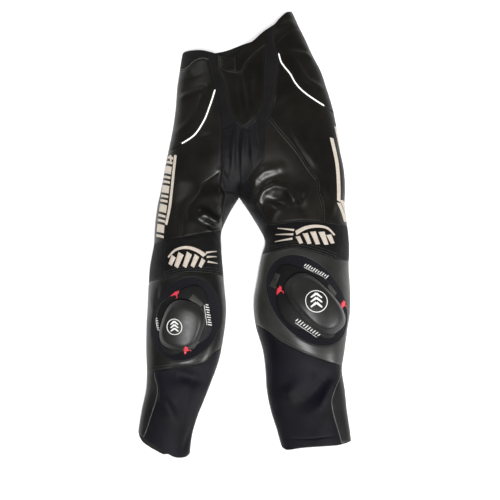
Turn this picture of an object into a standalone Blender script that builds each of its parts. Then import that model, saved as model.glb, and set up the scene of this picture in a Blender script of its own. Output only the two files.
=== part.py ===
"""Leather motorcycle trousers laid on their back on a flat surface.

Plan tables are in millimetres: x across, y from the hems up to the waist.
r_ is the wearer's right leg, which lies at low x, and l_ the left one.
Every front panel is a patch of one curved surface, cut along the seam table.
"""
import math

import bpy
import numpy as np

MM = 0.001
COLLECTION = "leather_trousers"
SHARP_ANGLE = math.radians(40)

# Plan position of the middle of the garment's outline, moved to x = 0, y = 0
MIDDLE_X = 1.547
MIDDLE_Y = 36.915

# Height of the folded side edges, and where the two legs become one body
EDGE_Z = 11.0
CROTCH_Y = 104.0
MERGE_LENGTH = 120.0

# Wall thickness, and half of the gap at a seam
LEATHER = 1.6
TEXTILE = 1.4
HALF_GAP = 0.2

# A panel side shorter than TIP is a point, drawn back by TIP_SHARE of its cell
TIP = 2.5
TIP_SHARE = 0.2

# How fast a panel's rows straighten away from its curved ends
BEND = 3

# Gap under what lies on a panel
OVERLAY_CLEARANCE = 0.6

# Outer and inner outline of each leg: y, x
R_OUTER = ((-521, -252), (-488, -248), (-447, -244), (-398, -237), (-352, -228), (-306, -227),
           (-260, -229), (-202, -229), (-155, -227), (-107, -226), (-67, -224), (-14, -216),
           (30, -214), (73, -210), (122, -201), (172, -193), (222, -184), (272, -175),
           (323, -169), (374, -166), (425, -160), (472, -153), (508, -146), (555, -137))
R_INNER = ((-521, -127), (-492, -125), (-456, -121), (-416, -110), (-375, -94), (-329, -76),
           (-283, -60), (-237, -51), (-202, -46), (-162, -44), (-119, -48), (-72, -52),
           (-24, -56), (25, -55), (49, -45), (73, -33), (104, -14))
L_INNER = ((-521, 94), (-483, 85), (-443, 74), (-398, 60), (-352, 51), (-306, 48), (-260, 42),
           (-213, 28), (-171, 21), (-143, 21), (-95, 29), (-43, 38), (-2, 48), (25, 36),
           (49, 22), (73, 7), (104, -14))
L_OUTER = ((-510, 247), (-470, 244), (-443, 241), (-398, 235), (-352, 231), (-306, 225),
           (-265, 231), (-218, 238), (-166, 246), (-119, 247), (-67, 245), (-19, 247),
           (30, 244), (73, 238), (122, 240), (172, 238), (222, 229), (272, 223), (323, 214),
           (374, 200), (425, 184), (459, 167), (500, 150), (542, 131), (595, 109))

# Line between the halves above the crotch: y, x
CENTRE_LINE = ((104, -14), (200, -9), (300, -3), (400, -3), (480, -3), (560, 10))

# Height of the front above the folded side edges: y, rise
RISE = ((-521, 32), (-440, 36), (-350, 44), (-290, 54), (-235, 68), (-165, 84), (-110, 80),
        (-60, 71), (0, 66), (60, 62), (110, 60), (200, 64), (300, 64), (400, 56), (460, 48),
        (560, 40))

# Creases of the front: x0, y0, x1, y1, half width, height
FOLDS = (
    (-97, 52, -58, 32, 9, 9),
    (-92, 34, -60, 18, 7, -7),
    (-98, 40, -60, 8, 7, 6),
    (-56, 150, -56, 60, 7, 3),
    (21, 138, 20, 100, 12, 8),
    (24, 142, 74, 158, 13, 8),
    (36, 92, 50, 112, 8, 6),
    (52, 116, 96, 112, 9, 7),
    (98, 108, 114, 82, 8, 5),
    (62, 92, 90, 78, 12, -9),
    (74, 62, 62, 40, 8, 4),
    (124, 84, 136, 60, 9, -4),
    (-150, -316, -100, -330, 16, -7),
    (-196, -340, -170, -400, 10, 4),
    (140, -372, 178, -330, 15, -8),
    (176, -384, 190, -350, 8, 5),
    (96, -366, 108, -352, 14, 4),
    (-23, 250, -30, 150, 5, 4),
    (-4, 240, -10, 140, 5, 4),
    (12, 238, 18, 170, 5, 3),
    (-2, 390, 14, 270, 6, 3),
    (30, 400, 22, 300, 8, 4),
    (-163, 346, -96, 362, 6, 4),
    (-108, 340, -132, 278, 6, 4),
    (-132, 278, -164, 262, 6, 3),
    (100, 456, 176, 450, 6, 4),
    (124, 430, 150, 384, 6, 4),
    (150, 384, 192, 372, 6, 3),
    (66, 510, 120, 540, 8, 4),
    (-160, 442, -130, 404, 8, 4),
)

# Seams: half, cells, plan points from one end to the other
SEAMS = {
    "r_waist_arc": ("r", 5, ((-999, 422), (-138, 420), (-119, 435), (-103, 438), (-89, 433))),
    "r_strip_a": ("r", 1, ((-89, 433), (-82, 455))),
    "r_strip_b": ("r", 4, ((-71, 356), (-79, 393), (-89, 433))),
    "r_strip_c": ("r", 3, ((-56, 255), (-61, 302), (-71, 356))),
    "r_gusset_up": ("r", 3, ((-56, 156), (-57, 204), (-56, 255))),
    "r_gusset_low": ("r", 2, ((-52, 110), (-56, 156))),
    "r_fly_side": ("r", 6, ((-19, 274), (-33, 304), (-40, 334), (-48, 368), (-57, 392), (-65, 413))),
    "r_strip_end": ("r", 2, ((-56, 255), (-19, 274))),
    "r_fly_tip": ("r", 3, ((-19, 274), (-3, 259))),
    "l_fly_tip": ("l", 4, ((-3, 259), (23, 279))),
    "l_fly_side": ("l", 6, ((23, 279), (40, 307), (44, 368), (47, 437), (51, 472))),
    "r_piping": ("r", 5, ((-999, 210), (-150, 227), (-123, 242), (-99, 275), (-83, 316), (-71, 356))),
    "r_curve": ("r", 5, ((-142, -5), (-142, 24), (-137, 55), (-128, 77), (-108, 110), (-77, 141),
                         (-56, 156))),
    "r_above_a": ("r", 2, ((-999, -13), (-187, -11))),
    "r_above_b": ("r", 3, ((-187, -11), (-142, -5))),
    "r_above_c": ("r", 5, ((-142, -5), (-97, 6), (999, 25))),
    "r_below_a": ("r", 2, ((-999, -105), (-186, -102))),
    "r_below_b": ("r", 8, ((-186, -102), (-159, -94), (-129, -89), (-91, -89), (999, -88))),
    "r_inner_leg": ("r", 3, ((999, 25), (-54, 50), (-51, 77), (-52, 110))),
    "r_crotch": ("r", 3, ((-52, 110), (-33, 110), (-14, 110))),
    "l_crotch_a": ("l", 3, ((-14, 110), (7, 138))),
    "l_crotch_b": ("l", 3, ((7, 138), (26, 164), (42, 184))),
    "l_gusset_up": ("l", 5, ((42, 184), (33, 209), (26, 240), (23, 279))),
    "waistband_low": ("c", 7, ((-65, 413), (-45, 398), (-14, 396), (5, 425), (26, 449), (51, 472))),
    "l_strip_a": ("l", 2, ((72, 467), (70, 527))),
    "l_strip_b": ("l", 4, ((81, 452), (72, 467))),
    "l_strip_c": ("l", 6, ((55, 277), (71, 346), (77, 393), (81, 452))),
    "l_strip_d": ("l", 4, ((42, 184), (48, 228), (55, 277))),
    "l_waist_arc": ("l", 6, ((72, 467), (95, 496), (117, 516), (999, 534))),
    "l_piping": ("l", 6, ((81, 452), (87, 428), (110, 395), (122, 373), (141, 353), (165, 337),
                         (190, 324), (999, 311))),
    "l_curve": ("l", 11, ((177, 33), (175, 78), (167, 119), (139, 168), (109, 211), (83, 241),
                          (55, 277))),
    "l_above_a": ("l", 5, ((56, 31), (82, 31), (128, 35), (177, 33))),
    "l_above_b": ("l", 3, ((177, 33), (225, 32))),
    "l_above_c": ("l", 3, ((225, 32), (999, 34))),
    "l_below_a": ("l", 8, ((-999, -37), (77, -34), (113, -30), (161, -41), (211, -56))),
    "l_below_b": ("l", 2, ((211, -56), (999, -52))),
    "l_inner_leg": ("l", 4, ((56, 31), (33, 77), (17, 106), (7, 138))),
    "r_knee_a": ("r", 2, ((-999, -311), (-205, -310))),
    "r_knee_b": ("r", 8, ((-205, -310), (-169, -305), (-133, -300), (-88, -287), (-71, -269),
                         (999, -251))),
    "l_knee_a": ("l", 9, ((-999, -194), (55, -222), (82, -244), (114, -261), (146, -274),
                         (182, -286), (222, -297))),
    "l_knee_b": ("l", 1, ((222, -297), (999, -297))),
    "r_side": ("r", 7, ((-228, -460), (-223, -449), (-212, -416), (-199, -375), (-197, -344),
                       (-202, -328), (-205, -310))),
    "l_side": ("l", 7, ((218, -473), (211, -447), (200, -409), (196, -375), (208, -342),
                       (220, -312), (222, -297))),
}

# Panels of the front: material, then the bottom, right, top and left side.
# A side is a list of seam names, or of free lines given as cells and plan points.
# A plan x of 999 or -999 stands for the leg's edge on that side.
PANELS = {
    "r_waist_side": ("stretch", ["r_waist_arc"], ["r_strip_a"],
                     [(5, ((-999, 466), (-134, 466), (-99, 461), (-82, 455)))],
                     [(1, ((-999, 422), (-999, 466)))]),
    "r_hip": ("leather", ["r_piping"], ["r_strip_b"], ["r_waist_arc"],
              [(4, ((-999, 210), (-999, 422)))]),
    "r_groin": ("stretch", ["r_strip_end"],
                ["r_fly_side", (2, ((-65, 413), (-65, 448)))],
                [(2, ((-82, 455), (-65, 448)))],
                ["r_strip_c", "r_strip_b", "r_strip_a"]),
    "waistband": ("leather", ["waistband_low"], [(2, ((51, 472), (63, 522)))],
                  [(7, ((-65, 448), (-53, 444), (-31, 438), (-10, 454), (5, 469), (20, 483),
                        (46, 509), (63, 522)))],
                  [(2, ((-65, 413), (-65, 448)))]),
    "fly": ("leather", ["r_fly_tip", "l_fly_tip"], ["l_fly_side"], ["waistband_low"],
            ["r_fly_side"]),
    "gusset": ("stretch", ["r_crotch", "l_crotch_a", "l_crotch_b"], ["l_gusset_up"],
               ["r_strip_end", "r_fly_tip", "l_fly_tip"], ["r_gusset_low", "r_gusset_up"]),
    "r_thigh_outer": ("leather", ["r_above_a", "r_above_b"],
                      ["r_curve", "r_gusset_up", "r_strip_c"], ["r_piping"],
                      [(11, ((-999, -13), (-999, 210)))]),
    "r_thigh_inner": ("leather", ["r_above_c"], ["r_inner_leg", "r_gusset_low"],
                      [(5, ((-56, 156), (-55.9, 156)))], ["r_curve"]),
    "r_inner_strip": ("stretch", [(3, ((999, 24), (999, 25)))], [(3, ((999, 24), (-14, 110)))],
                      ["r_crotch"], ["r_inner_leg"]),
    "r_above_knee": ("stretch", ["r_below_b"], [(8, ((999, -88), (999, 25)))],
                     ["r_above_b", "r_above_c"], [(8, ((-186, -102), (-187, -11)))]),
    "r_knee_side": ("stretch", ["r_below_a"], [(5, ((-186, -102), (-187, -11)))], ["r_above_a"],
                    [(5, ((-999, -105), (-999, -13)))]),
    "r_knee": ("leather", ["r_knee_a", "r_knee_b"], [(9, ((999, -251), (999, -88)))],
               ["r_below_a", "r_below_b"], [(9, ((-999, -311), (-999, -105)))]),
    "r_calf": ("stretch", [(8, ((-228, -460), (-209, -473), (-191, -484), (-172, -496),
                                (-157, -503), (-135, -503), (999, -493)))],
               [(7, ((999, -493), (999, -251)))], ["r_knee_b"], ["r_side"]),
    "r_calf_side": ("leather", [(2, ((-999, -447), (-228, -460)))], ["r_side"], ["r_knee_a"],
                    [(7, ((-999, -447), (-999, -311)))]),
    "l_groin": ("stretch", [(2, ((42, 184), (42.1, 184)))],
                ["l_strip_d", "l_strip_c", "l_strip_b", "l_strip_a"],
                [(2, ((63, 522), (70, 527)))],
                ["l_gusset_up", "l_fly_side", (5, ((51, 472), (63, 522)))]),
    "l_waist_side": ("leather", ["l_waist_arc"], [(2, ((999, 534), (999, 576)))],
                     [(6, ((70, 527), (85, 547), (98, 562), (999, 576)))], ["l_strip_a"]),
    "l_hip": ("leather", ["l_piping"], [(4, ((999, 311), (999, 534)))], ["l_waist_arc"],
              ["l_strip_b"]),
    "l_thigh_outer": ("leather", ["l_above_b", "l_above_c"], [(17, ((999, 34), (999, 311)))],
                      ["l_piping"], ["l_curve", "l_strip_c"]),
    "l_thigh_inner": ("leather", ["l_above_a"], ["l_curve"], [(5, ((54.9, 277), (55, 277)))],
                      ["l_inner_leg", "l_crotch_b", "l_strip_d"]),
    "l_inner_strip": ("stretch", [(3, ((-999, 4), (56, 31)))], ["l_inner_leg"], ["l_crotch_a"],
                      [(4, ((-999, 4), (-14, 110)))]),
    "l_above_knee": ("stretch", ["l_below_a"], [(8, ((211, -56), (225, 32)))],
                     ["l_above_a", "l_above_b"],
                     [(5, ((-999, -37), (-999, 4))), (3, ((-999, 4), (56, 31)))]),
    "l_knee_side": ("stretch", ["l_below_b"], [(5, ((999, -52), (999, 34)))],
                    [(2, ((225, 32), (999, 34)))], [(5, ((211, -56), (225, 32)))]),
    "l_knee": ("leather", ["l_knee_a", "l_knee_b"], [(10, ((999, -297), (999, -52)))],
               ["l_below_a", "l_below_b"], [(10, ((-999, -194), (-999, -37)))]),
    "l_calf": ("stretch", [(9, ((-999, -479), (94, -487), (125, -483), (170, -478), (218, -473)))],
               ["l_side"], ["l_knee_a"], [(7, ((-999, -479), (-999, -194)))]),
    "l_calf_side": ("leather", [(1, ((218, -473), (999, -466)))],
                    [(7, ((999, -466), (999, -297)))], ["l_knee_b"], ["l_side"]),
}

HALF_OF = {"waistband": "c", "fly": "c", "gusset": "c"}

# Upper edge of the back in plan
WAIST_LINE = ((-999, 466), (-134, 467), (-99, 469), (-74, 472), (-44, 479), (-7, 494), (24, 506),
              (39, 518), (52, 526), (62, 535), (80, 552), (98, 566), (999, 578))

# Pieces of the back: depth of the waistband and yoke, and the lines across the legs
BACK_CELLS = 24
BAND_DEPTH = 38
YOKE_DEPTH = 120
CROTCH_GAP = 2.5
# Step in q off the middle line, which keeps a point on its own leg
MIDDLE_Q = 1e-6
BACK_LINES = {"r": (-92, -230), "l": (-45, -225)}

# Lower edge of each calf's back: q, y
BACK_HEM = {
    "r": ((-2.0, -447), (-1.6, -470), (-1.0, -498), (0.0, -493)),
    "l": ((0.0, -479), (0.4, -486), (1.4, -478), (2.0, -466)),
}

# Knee discs: leg, middle x, y, half width, half length, lean of the long axis in degrees
KNEES = (
    ("r", -134, -194.5, 76, 97, -25),
    ("l", 143, -151, 78, 116, 37),
)
DISC_RINGS = (0, 0.22, 0.44, 0.64, 0.82, 1.0)
DISC_THICK = 2.2
KNEE_PANELS = ("r_knee", "l_knee")
KNEE_CELLS = 3
PLATE_AROUND = 32
PLATE_RINGS = (0, 0.25, 0.5, 0.72, 0.9, 1.0)

# Slider base on the disc: shift and size as shares of the disc's, and its outline
BASE_SHIFT = (-0.04, -0.02)
BASE_SHARE = (0.74, 0.76)
BASE_THICK = 4.5
BASE_EDGE = 2.5
BASE_POWER = 2.6
LOBE = 0.13
# Pucks: leg, middle x, y, half width, half length, lean of the long axis in degrees, height
PUCKS = (
    ("r", -141, -210, 42, 55, -18, 21),
    ("l", 157, -161, 40, 75, 42, 22),
)
PUCK_POWER = 2.7
PUCK_EDGE = 7.0
# Height of the puck at each plate ring but the last, as shares of its middle's
PUCK_DOME = (1.0, 0.985, 0.94, 0.84, 0.66)

# Reflective piping on the hip seams, and the first and last cell of each seam that it covers
PIPING_HALF = 2.4
PIPING_THICK = 1.3
PIPING_CELLS = 20
PIPING_SPAN = {"r_piping": (3, 20), "l_piping": (0, 19)}

# Closure tab: upper and lower edge in plan
TAB_TOP = ((-63.0, 441.0), (-51.0, 440.0), (-34.0, 433.0), (-19.0, 441.0))
TAB_LOW = ((-63.0, 415.0), (-46.0, 401.0), (-30.0, 399.5), (-17.0, 400.5))
TAB_THICK = 1.8

COLOURS = {
    "leather": ((0.022, 0.021, 0.018), 0.38),
    "stretch": ((0.018, 0.018, 0.020), 0.72),
    "velcro": ((0.012, 0.012, 0.018), 0.95),
    "moulded": ((0.060, 0.060, 0.062), 0.42),
    "reflective": ((0.86, 0.85, 0.80), 0.45),
}


def clear_scene():
    for old in list(bpy.data.objects):
        bpy.data.objects.remove(old, do_unlink=True)


def track(table, y):
    """Value of a two-column table at y, on a smooth curve through its rows."""
    rows = np.array(table, dtype=float)
    at, value = rows[:, 0], rows[:, 1]
    slope = np.gradient(value, at)
    y = np.clip(np.asarray(y, dtype=float), at[0], at[-1])
    i = np.clip(np.searchsorted(at, y, side="right") - 1, 0, len(at) - 2)
    span = at[i + 1] - at[i]
    t = (y - at[i]) / span
    rise = t * t * (3 - 2 * t)
    lead = t * (1 - t) ** 2
    trail = t * t * (t - 1)
    return (value[i] * (1 - rise) + value[i + 1] * rise
            + span * (lead * slope[i] + trail * slope[i + 1]))


def merge(y):
    """0 on the legs, growing to 1 where both halves are one body."""
    u = np.clip((np.asarray(y, dtype=float) - CROTCH_Y) / MERGE_LENGTH, 0.0, 1.0)
    return np.sin(u * math.pi / 2) ** 0.9


def outline(right_leg, y):
    """Outer and inner x of one half of the garment."""
    y = np.asarray(y, dtype=float)
    mid = track(CENTRE_LINE, y)
    outer, inner = (R_OUTER, R_INNER) if right_leg else (L_OUTER, L_INNER)
    return track(outer, y), np.where(y < CROTCH_Y, track(inner, y), mid)


def half_section(right_leg, a, y):
    """x and lift of the front; a runs from -1 at the outer edge to 1 at the inner edge."""
    outer, inner = outline(right_leg, y)
    m = merge(y)
    turn = (a - 1) * math.pi / 4
    across = (1 - m) * np.sin(a * math.pi / 2) + m * (1 + 2 * np.sin(turn))
    lift = (1 - m) * np.cos(a * math.pi / 2) + m * np.cos(turn)
    return (outer + inner) / 2 + (inner - outer) / 2 * across, lift


def section(q, y):
    """q runs from -2 at the right side edge over 0 at the middle to 2 at the left side edge."""
    rx, rl = half_section(True, np.clip(q, -2, 0) + 1, y)
    lx, ll = half_section(False, 1 - np.clip(q, 0, 2), y)
    return np.where(q < 0, rx, lx), np.where(q < 0, rl, ll)


def creases(x, y):
    total = np.zeros(np.shape(x))
    for x0, y0, x1, y1, width, height in FOLDS:
        dx, dy = x1 - x0, y1 - y0
        along = ((x - x0) * dx + (y - y0) * dy) / (dx * dx + dy * dy)
        t = np.clip(along, 0, 1)
        away = (x - x0 - t * dx) ** 2 + (y - y0 - t * dy) ** 2
        total = total + height * np.exp(-away / width**2)
    return total


def front(q, y):
    """Points of the front's outer surface."""
    x, lift = section(q, y)
    z = EDGE_Z + track(RISE, y) * lift
    z = z + creases(x, y) * np.clip(2.2 * lift, 0, 1) ** 2
    return np.stack([x, y, z], axis=-1)


def curl(distance, radius):
    """Height of a sheet that rolls up from the floor to a vertical edge."""
    d = np.clip(distance, 0, radius)
    return radius - np.sqrt(np.maximum(radius**2 - (radius - d) ** 2, 0))


def back(q, y):
    """Points of the back's outer surface, flat on the floor but for its rolled edges."""
    x, _ = section(q, y)
    outer = np.where(q < 0, outline(True, y)[0], outline(False, y)[0])
    inner = np.where(q < 0, outline(True, y)[1], outline(False, y)[1])
    inner_radius = EDGE_Z * (1 - merge(y)) ** 4 + 1e-6
    z = np.maximum(curl(np.abs(x - outer), EDGE_Z), curl(np.abs(x - inner), inner_radius))
    return np.stack([x, y, z], axis=-1)


def q_at(x, y, half):
    """q of plan points, found by halving; half is r, l or c for both."""
    x = np.asarray(x, dtype=float)
    y = np.asarray(y, dtype=float)
    low = np.full(x.shape, 0.0 if half == "l" else -2.0)
    high = np.full(x.shape, -1e-9 if half == "r" else 2.0)
    for _ in range(45):
        mid = (low + high) / 2
        under = section(mid, y)[0] < x
        low = np.where(under, mid, low)
        high = np.where(under, high, mid)
    return (low + high) / 2


def smooth_line(points, cells):
    """Points at even spacing on a smooth curve through a few given ones."""
    p = np.array(points, dtype=float)
    scale = np.array([90.0, 1.0])
    run = np.concatenate([[0], np.cumsum(np.linalg.norm(np.diff(p * scale, axis=0), axis=1))])
    at = np.linspace(0, run[-1], cells + 1)
    if len(p) == 2:
        return np.stack([np.interp(at, run, p[:, 0]), np.interp(at, run, p[:, 1])], axis=1)
    fine = [track(list(zip(run, p[:, k])), at) for k in range(2)]
    return np.stack(fine, axis=1)


def plan_line(points, cells, half):
    p = np.array(points, dtype=float)
    q = q_at(p[:, 0], p[:, 1], half)
    return smooth_line(np.stack([q, p[:, 1]], axis=1), cells)


def side_line(parts, half):
    """One side of a panel as rows of q and y, joined from its seams and free lines."""
    rows = []
    for part in parts:
        if isinstance(part, str):
            seam_half, cells, points = SEAMS[part]
            line = plan_line(points, cells, seam_half)
        else:
            line = plan_line(part[1], part[0], half)
        rows.append(line if not rows else line[1:])
    return np.concatenate(rows, axis=0)


def patch(bottom, right, top, left):
    """Grid between four sides: straight rows, bent towards the bottom and top side near them."""
    if len(bottom) != len(top) or len(left) != len(right):
        raise ValueError("sides differ: %d %d %d %d" % (len(bottom), len(top), len(left), len(right)))
    s = np.linspace(0, 1, len(bottom))[None, :, None]
    t = np.linspace(0, 1, len(left))[:, None, None]
    rows = (1 - s) * left[:, None] + s * right[:, None]
    low_bend = bottom[None] - (1 - s) * bottom[0] - s * bottom[-1]
    high_bend = top[None] - (1 - s) * top[0] - s * top[-1]
    return rows + (1 - t) ** BEND * low_bend + t**BEND * high_bend


def gap_share(edge, inner, closed=False):
    """Share of each first cell that half the seam gap takes, measured square to the edge."""
    inward = inner - edge
    if closed:
        tangent = np.roll(edge, -1, axis=0) - np.roll(edge, 1, axis=0)
    else:
        tangent = np.gradient(edge, axis=0)
    cross = np.linalg.norm(np.cross(inward, tangent), axis=-1)
    reach = cross / np.maximum(np.linalg.norm(tangent, axis=-1), 1e-6)
    share = np.clip(HALF_GAP / np.maximum(reach, 1e-6), 0, 0.42)
    if not closed and np.linalg.norm(edge[-1] - edge[0]) < TIP:
        share = np.full_like(share, TIP_SHARE)
    return share[:, None]


def inset(outer, inner):
    """Draw the four sides of a wall's two grids back by half the seam gap."""
    for turn in range(4):
        p, r = np.rot90(outer, turn).copy(), np.rot90(inner, turn).copy()
        share = gap_share(p[0], p[1])
        p[0] = p[0] + (p[1] - p[0]) * share
        r[0] = r[0] + (r[1] - r[0]) * share
        outer, inner = np.rot90(p, -turn), np.rot90(r, -turn)
    return outer, inner


def normals(surface, q, y):
    """Unit normals of a surface, pointing up and out."""
    dq, dy = 1e-3, 0.05
    q0 = np.clip(q - dq, np.where(q > 0, MIDDLE_Q, -2), 2)
    q1 = np.clip(q + dq, -2, np.where(q < 0, -MIDDLE_Q, 2))
    across = surface(q1, y) - surface(q0, y)
    along = surface(q, y + dy) - surface(q, y - dy)
    n = np.cross(across, along)
    return n / np.maximum(np.linalg.norm(n, axis=-1, keepdims=True), 1e-12)


def wall_mesh(upper, lower):
    """Closed wall between two grids of points, with a rim round its border."""
    rows, columns = upper.shape[:2]
    count = rows * columns
    points = np.concatenate([upper.reshape(-1, 3), lower.reshape(-1, 3)])
    faces = []
    for j in range(rows - 1):
        for i in range(columns - 1):
            a = j * columns + i
            b, c, d = a + 1, a + columns + 1, a + columns
            faces.append((a, b, c, d))
            faces.append((count + a, count + d, count + c, count + b))
    loop = list(range(columns))
    loop += [j * columns + columns - 1 for j in range(1, rows)]
    loop += [(rows - 1) * columns + i for i in range(columns - 2, -1, -1)]
    loop += [j * columns for j in range(rows - 2, 0, -1)]
    for k, a in enumerate(loop):
        b = loop[(k + 1) % len(loop)]
        faces.append((b, a, count + a, count + b))
    return points, faces


def disc_mesh(top, bottom):
    """Closed plate from rings of points; ring 0 is the middle point repeated."""
    rings, around = len(top), len(top[0])
    points = [top[0][0]] + [p for ring in top[1:] for p in ring]
    points += [bottom[0][0]] + [p for ring in bottom[1:] for p in ring]
    half = 1 + (rings - 1) * around
    faces = []
    for base, flip in ((0, False), (half, True)):
        for k in range(around):
            n = (k + 1) % around
            tri = (base, base + 1 + k, base + 1 + n)
            faces.append(tri[::-1] if flip else tri)
        for r in range(rings - 2):
            for k in range(around):
                n = (k + 1) % around
                a, b = base + 1 + r * around + k, base + 1 + r * around + n
                quad = (a, a + around, b + around, b)
                faces.append(quad[::-1] if flip else quad)
    rim = 1 + (rings - 2) * around
    for k in range(around):
        n = (k + 1) % around
        faces.append((rim + k, half + rim + k, half + rim + n, rim + n))
    return np.array(points), faces


def material(kind):
    made = bpy.data.materials.get(kind)
    if made:
        return made
    colour, roughness = COLOURS[kind]
    made = bpy.data.materials.new(kind)
    made.use_nodes = True
    shader = made.node_tree.nodes["Principled BSDF"]
    shader.inputs["Base Color"].default_value = (*colour, 1.0)
    shader.inputs["Roughness"].default_value = roughness
    shader.inputs["Metallic"].default_value = 0.0
    return made


def garment_collection():
    made = bpy.data.collections.get(COLLECTION)
    if not made:
        made = bpy.data.collections.new(COLLECTION)
        bpy.context.scene.collection.children.link(made)
    return made


def add_object(name, points, faces, kind):
    moved = (np.asarray(points) - np.array([MIDDLE_X, MIDDLE_Y, 0.0])) * MM
    mesh = bpy.data.meshes.new(name)
    mesh.from_pydata(moved.tolist(), [], faces)
    mesh.shade_smooth()
    mesh.set_sharp_from_angle(angle=SHARP_ANGLE)
    mesh.materials.append(material(kind))
    made = bpy.data.objects.new(name, mesh)
    garment_collection().objects.link(made)


def build_front():
    for name, (kind, bottom, right, top, left) in PANELS.items():
        if name in KNEE_PANELS:
            continue
        half = HALF_OF.get(name, name[0])
        sides = [side_line(parts, half) for parts in (bottom, right, top, left)]
        grid = patch(*sides)
        q, y = grid[..., 0], grid[..., 1]
        thick = LEATHER if kind == "leather" else TEXTILE
        outer = front(q, y)
        inner = outer - normals(front, q, y) * thick
        add_object(name, *wall_mesh(*inset(outer, inner)), kind)


def build_back():
    waist = plan_line(WAIST_LINE, BACK_CELLS, "c")
    q = np.linspace(-2, 2, BACK_CELLS + 1)
    waist_y = np.interp(q, waist[:, 0], waist[:, 1])
    band_y = waist_y - BAND_DEPTH
    yoke_y = waist_y - YOKE_DEPTH
    add_back("back_waistband", "leather", q, band_y, waist_y, 2)
    add_back("back_yoke", "stretch", q, yoke_y, band_y, 3)
    middle = BACK_CELLS // 2
    for leg, part in (("r", slice(0, middle + 1)), ("l", slice(middle, None))):
        across = kept_on(q[part], leg)
        crotch_y = np.full(middle + 1, CROTCH_Y + CROTCH_GAP)
        knee_y, calf_y = (np.full(middle + 1, float(line)) for line in BACK_LINES[leg])
        hem = np.array(BACK_HEM[leg], dtype=float)
        hem_y = np.interp(across, hem[:, 0], hem[:, 1])
        add_back(leg + "_seat", "leather", across, crotch_y, yoke_y[part], 7)
        add_back(leg + "_thigh_back", "leather", across, knee_y, crotch_y, 4)
        add_back(leg + "_knee_back", "stretch", across, calf_y, knee_y, 3)
        add_back(leg + "_calf_back", "leather", across, hem_y, calf_y, 5)


def kept_on(q, leg):
    """Keep the middle line on the half that a piece belongs to."""
    return np.minimum(q, -MIDDLE_Q) if leg == "r" else np.maximum(q, MIDDLE_Q)


def add_back(name, kind, q, low_y, high_y, cells):
    t = np.linspace(0, 1, cells + 1)[:, None]
    y = (1 - t) * low_y[None] + t * high_y[None]
    across = np.broadcast_to(q, y.shape)
    outer = back(across, y)
    thick = LEATHER if kind == "leather" else TEXTILE
    lower, upper = inset(outer, outer + normals(back, across, y) * thick)
    add_object(name, *wall_mesh(upper, lower), kind)


def above_front(x, y, half, rise):
    """Points over plan points, moved out along the front's normals."""
    q = q_at(x, y, half)
    n = normals(front, q, y)
    return front(q, y) + n * np.asarray(rise)[..., None]


def turned(middle, size, lean, angle, share=1.0):
    """Plan points of an ellipse of half width and half length, turned by its lean."""
    u, v = share * size[0] * np.cos(angle), share * size[1] * np.sin(angle)
    c, s = math.cos(math.radians(lean)), math.sin(math.radians(lean))
    return middle[0] + u * c - v * s, middle[1] + u * s + v * c


def rounded_reach(angle, power, lobe):
    """Radius of a rounded square with four lobes, 1 on its axes."""
    reach = (np.abs(np.cos(angle))**power + np.abs(np.sin(angle))**power) ** (-1 / power)
    return reach * (1 + lobe * np.cos(4 * angle))


def add_plate(name, leg, middle, size, lean, low, high, power, lobe):
    """Moulded plate on the knee: low and high are its heights over the panel at each ring."""
    angle = np.linspace(0, 2 * math.pi, PLATE_AROUND, endpoint=False)
    reach = rounded_reach(angle, power, lobe)
    sheets = []
    for heights in (high, low):
        rows = []
        for share, rise in zip(PLATE_RINGS, heights):
            x, y = turned(middle, size, lean, angle, share * reach)
            rows.append(above_front(x, y, leg, np.full(x.shape, float(rise))))
        sheets.append(rows)
    add_object(name, *disc_mesh(*sheets), "moulded")


def knee_loop(leg):
    """Border of the knee panel as one loop of q and y, with the angle of each point."""
    name = leg + "_knee"
    _, bottom, right, top, left = PANELS[name]
    sides = [side_line(parts, leg) for parts in (bottom, right, top, left)]
    loop = np.concatenate([sides[0][:-1], sides[1][:-1], sides[2][::-1][:-1], sides[3][::-1][:-1]])
    _, x, y, wide, long, lean = next(row for row in KNEES if row[0] == leg)
    plan_x = section(loop[:, 0], loop[:, 1])[0] - x
    plan_y = loop[:, 1] - y
    c, s = math.cos(math.radians(lean)), math.sin(math.radians(lean))
    angle = np.arctan2((plan_y * c - plan_x * s) / long, (plan_x * c + plan_y * s) / wide)
    return loop, angle


def ring_wall(outer, inner):
    """Closed wall on a ring of cells: both grids have a row for each ring of the panel."""
    rows, around = outer.shape[:2]
    count = rows * around
    points = np.concatenate([outer.reshape(-1, 3), inner.reshape(-1, 3)])
    faces = []
    for r in range(rows - 1):
        for k in range(around):
            n = (k + 1) % around
            a, b = r * around + k, r * around + n
            c, d = b + around, a + around
            faces.append((a, b, c, d))
            faces.append((count + d, count + c, count + b, count + a))
    for k in range(around):
        n = (k + 1) % around
        last = (rows - 1) * around
        faces.append((n, k, count + k, count + n))
        faces.append((last + k, last + n, count + last + n, count + last + k))
    return points, faces


def build_knees():
    for leg, x, y, wide, long, lean in KNEES:
        loop, angle = knee_loop(leg)
        rim_x, rim_y = turned((x, y), (wide, long), lean, angle)
        rim = np.stack([q_at(rim_x, rim_y, leg), rim_y], axis=1)
        t = np.linspace(0, 1, KNEE_CELLS + 1)[:, None, None]
        grid = loop[None] * (1 - t) + rim[None] * t
        q, y2 = grid[..., 0], grid[..., 1]
        outer = front(q, y2)
        inner = outer - normals(front, q, y2) * LEATHER
        for edge, step in ((0, 1), (-1, -2)):
            share = gap_share(outer[edge], outer[step], closed=True)
            outer[edge] = outer[edge] + (outer[step] - outer[edge]) * share
            inner[edge] = inner[edge] + (inner[step] - inner[edge]) * share
        add_object(leg + "_knee", *ring_wall(outer, inner), "leather")
        add_velcro(leg, (x, y), (wide, long), lean, angle)
        add_slider(leg, (x, y), (wide, long), lean)


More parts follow.
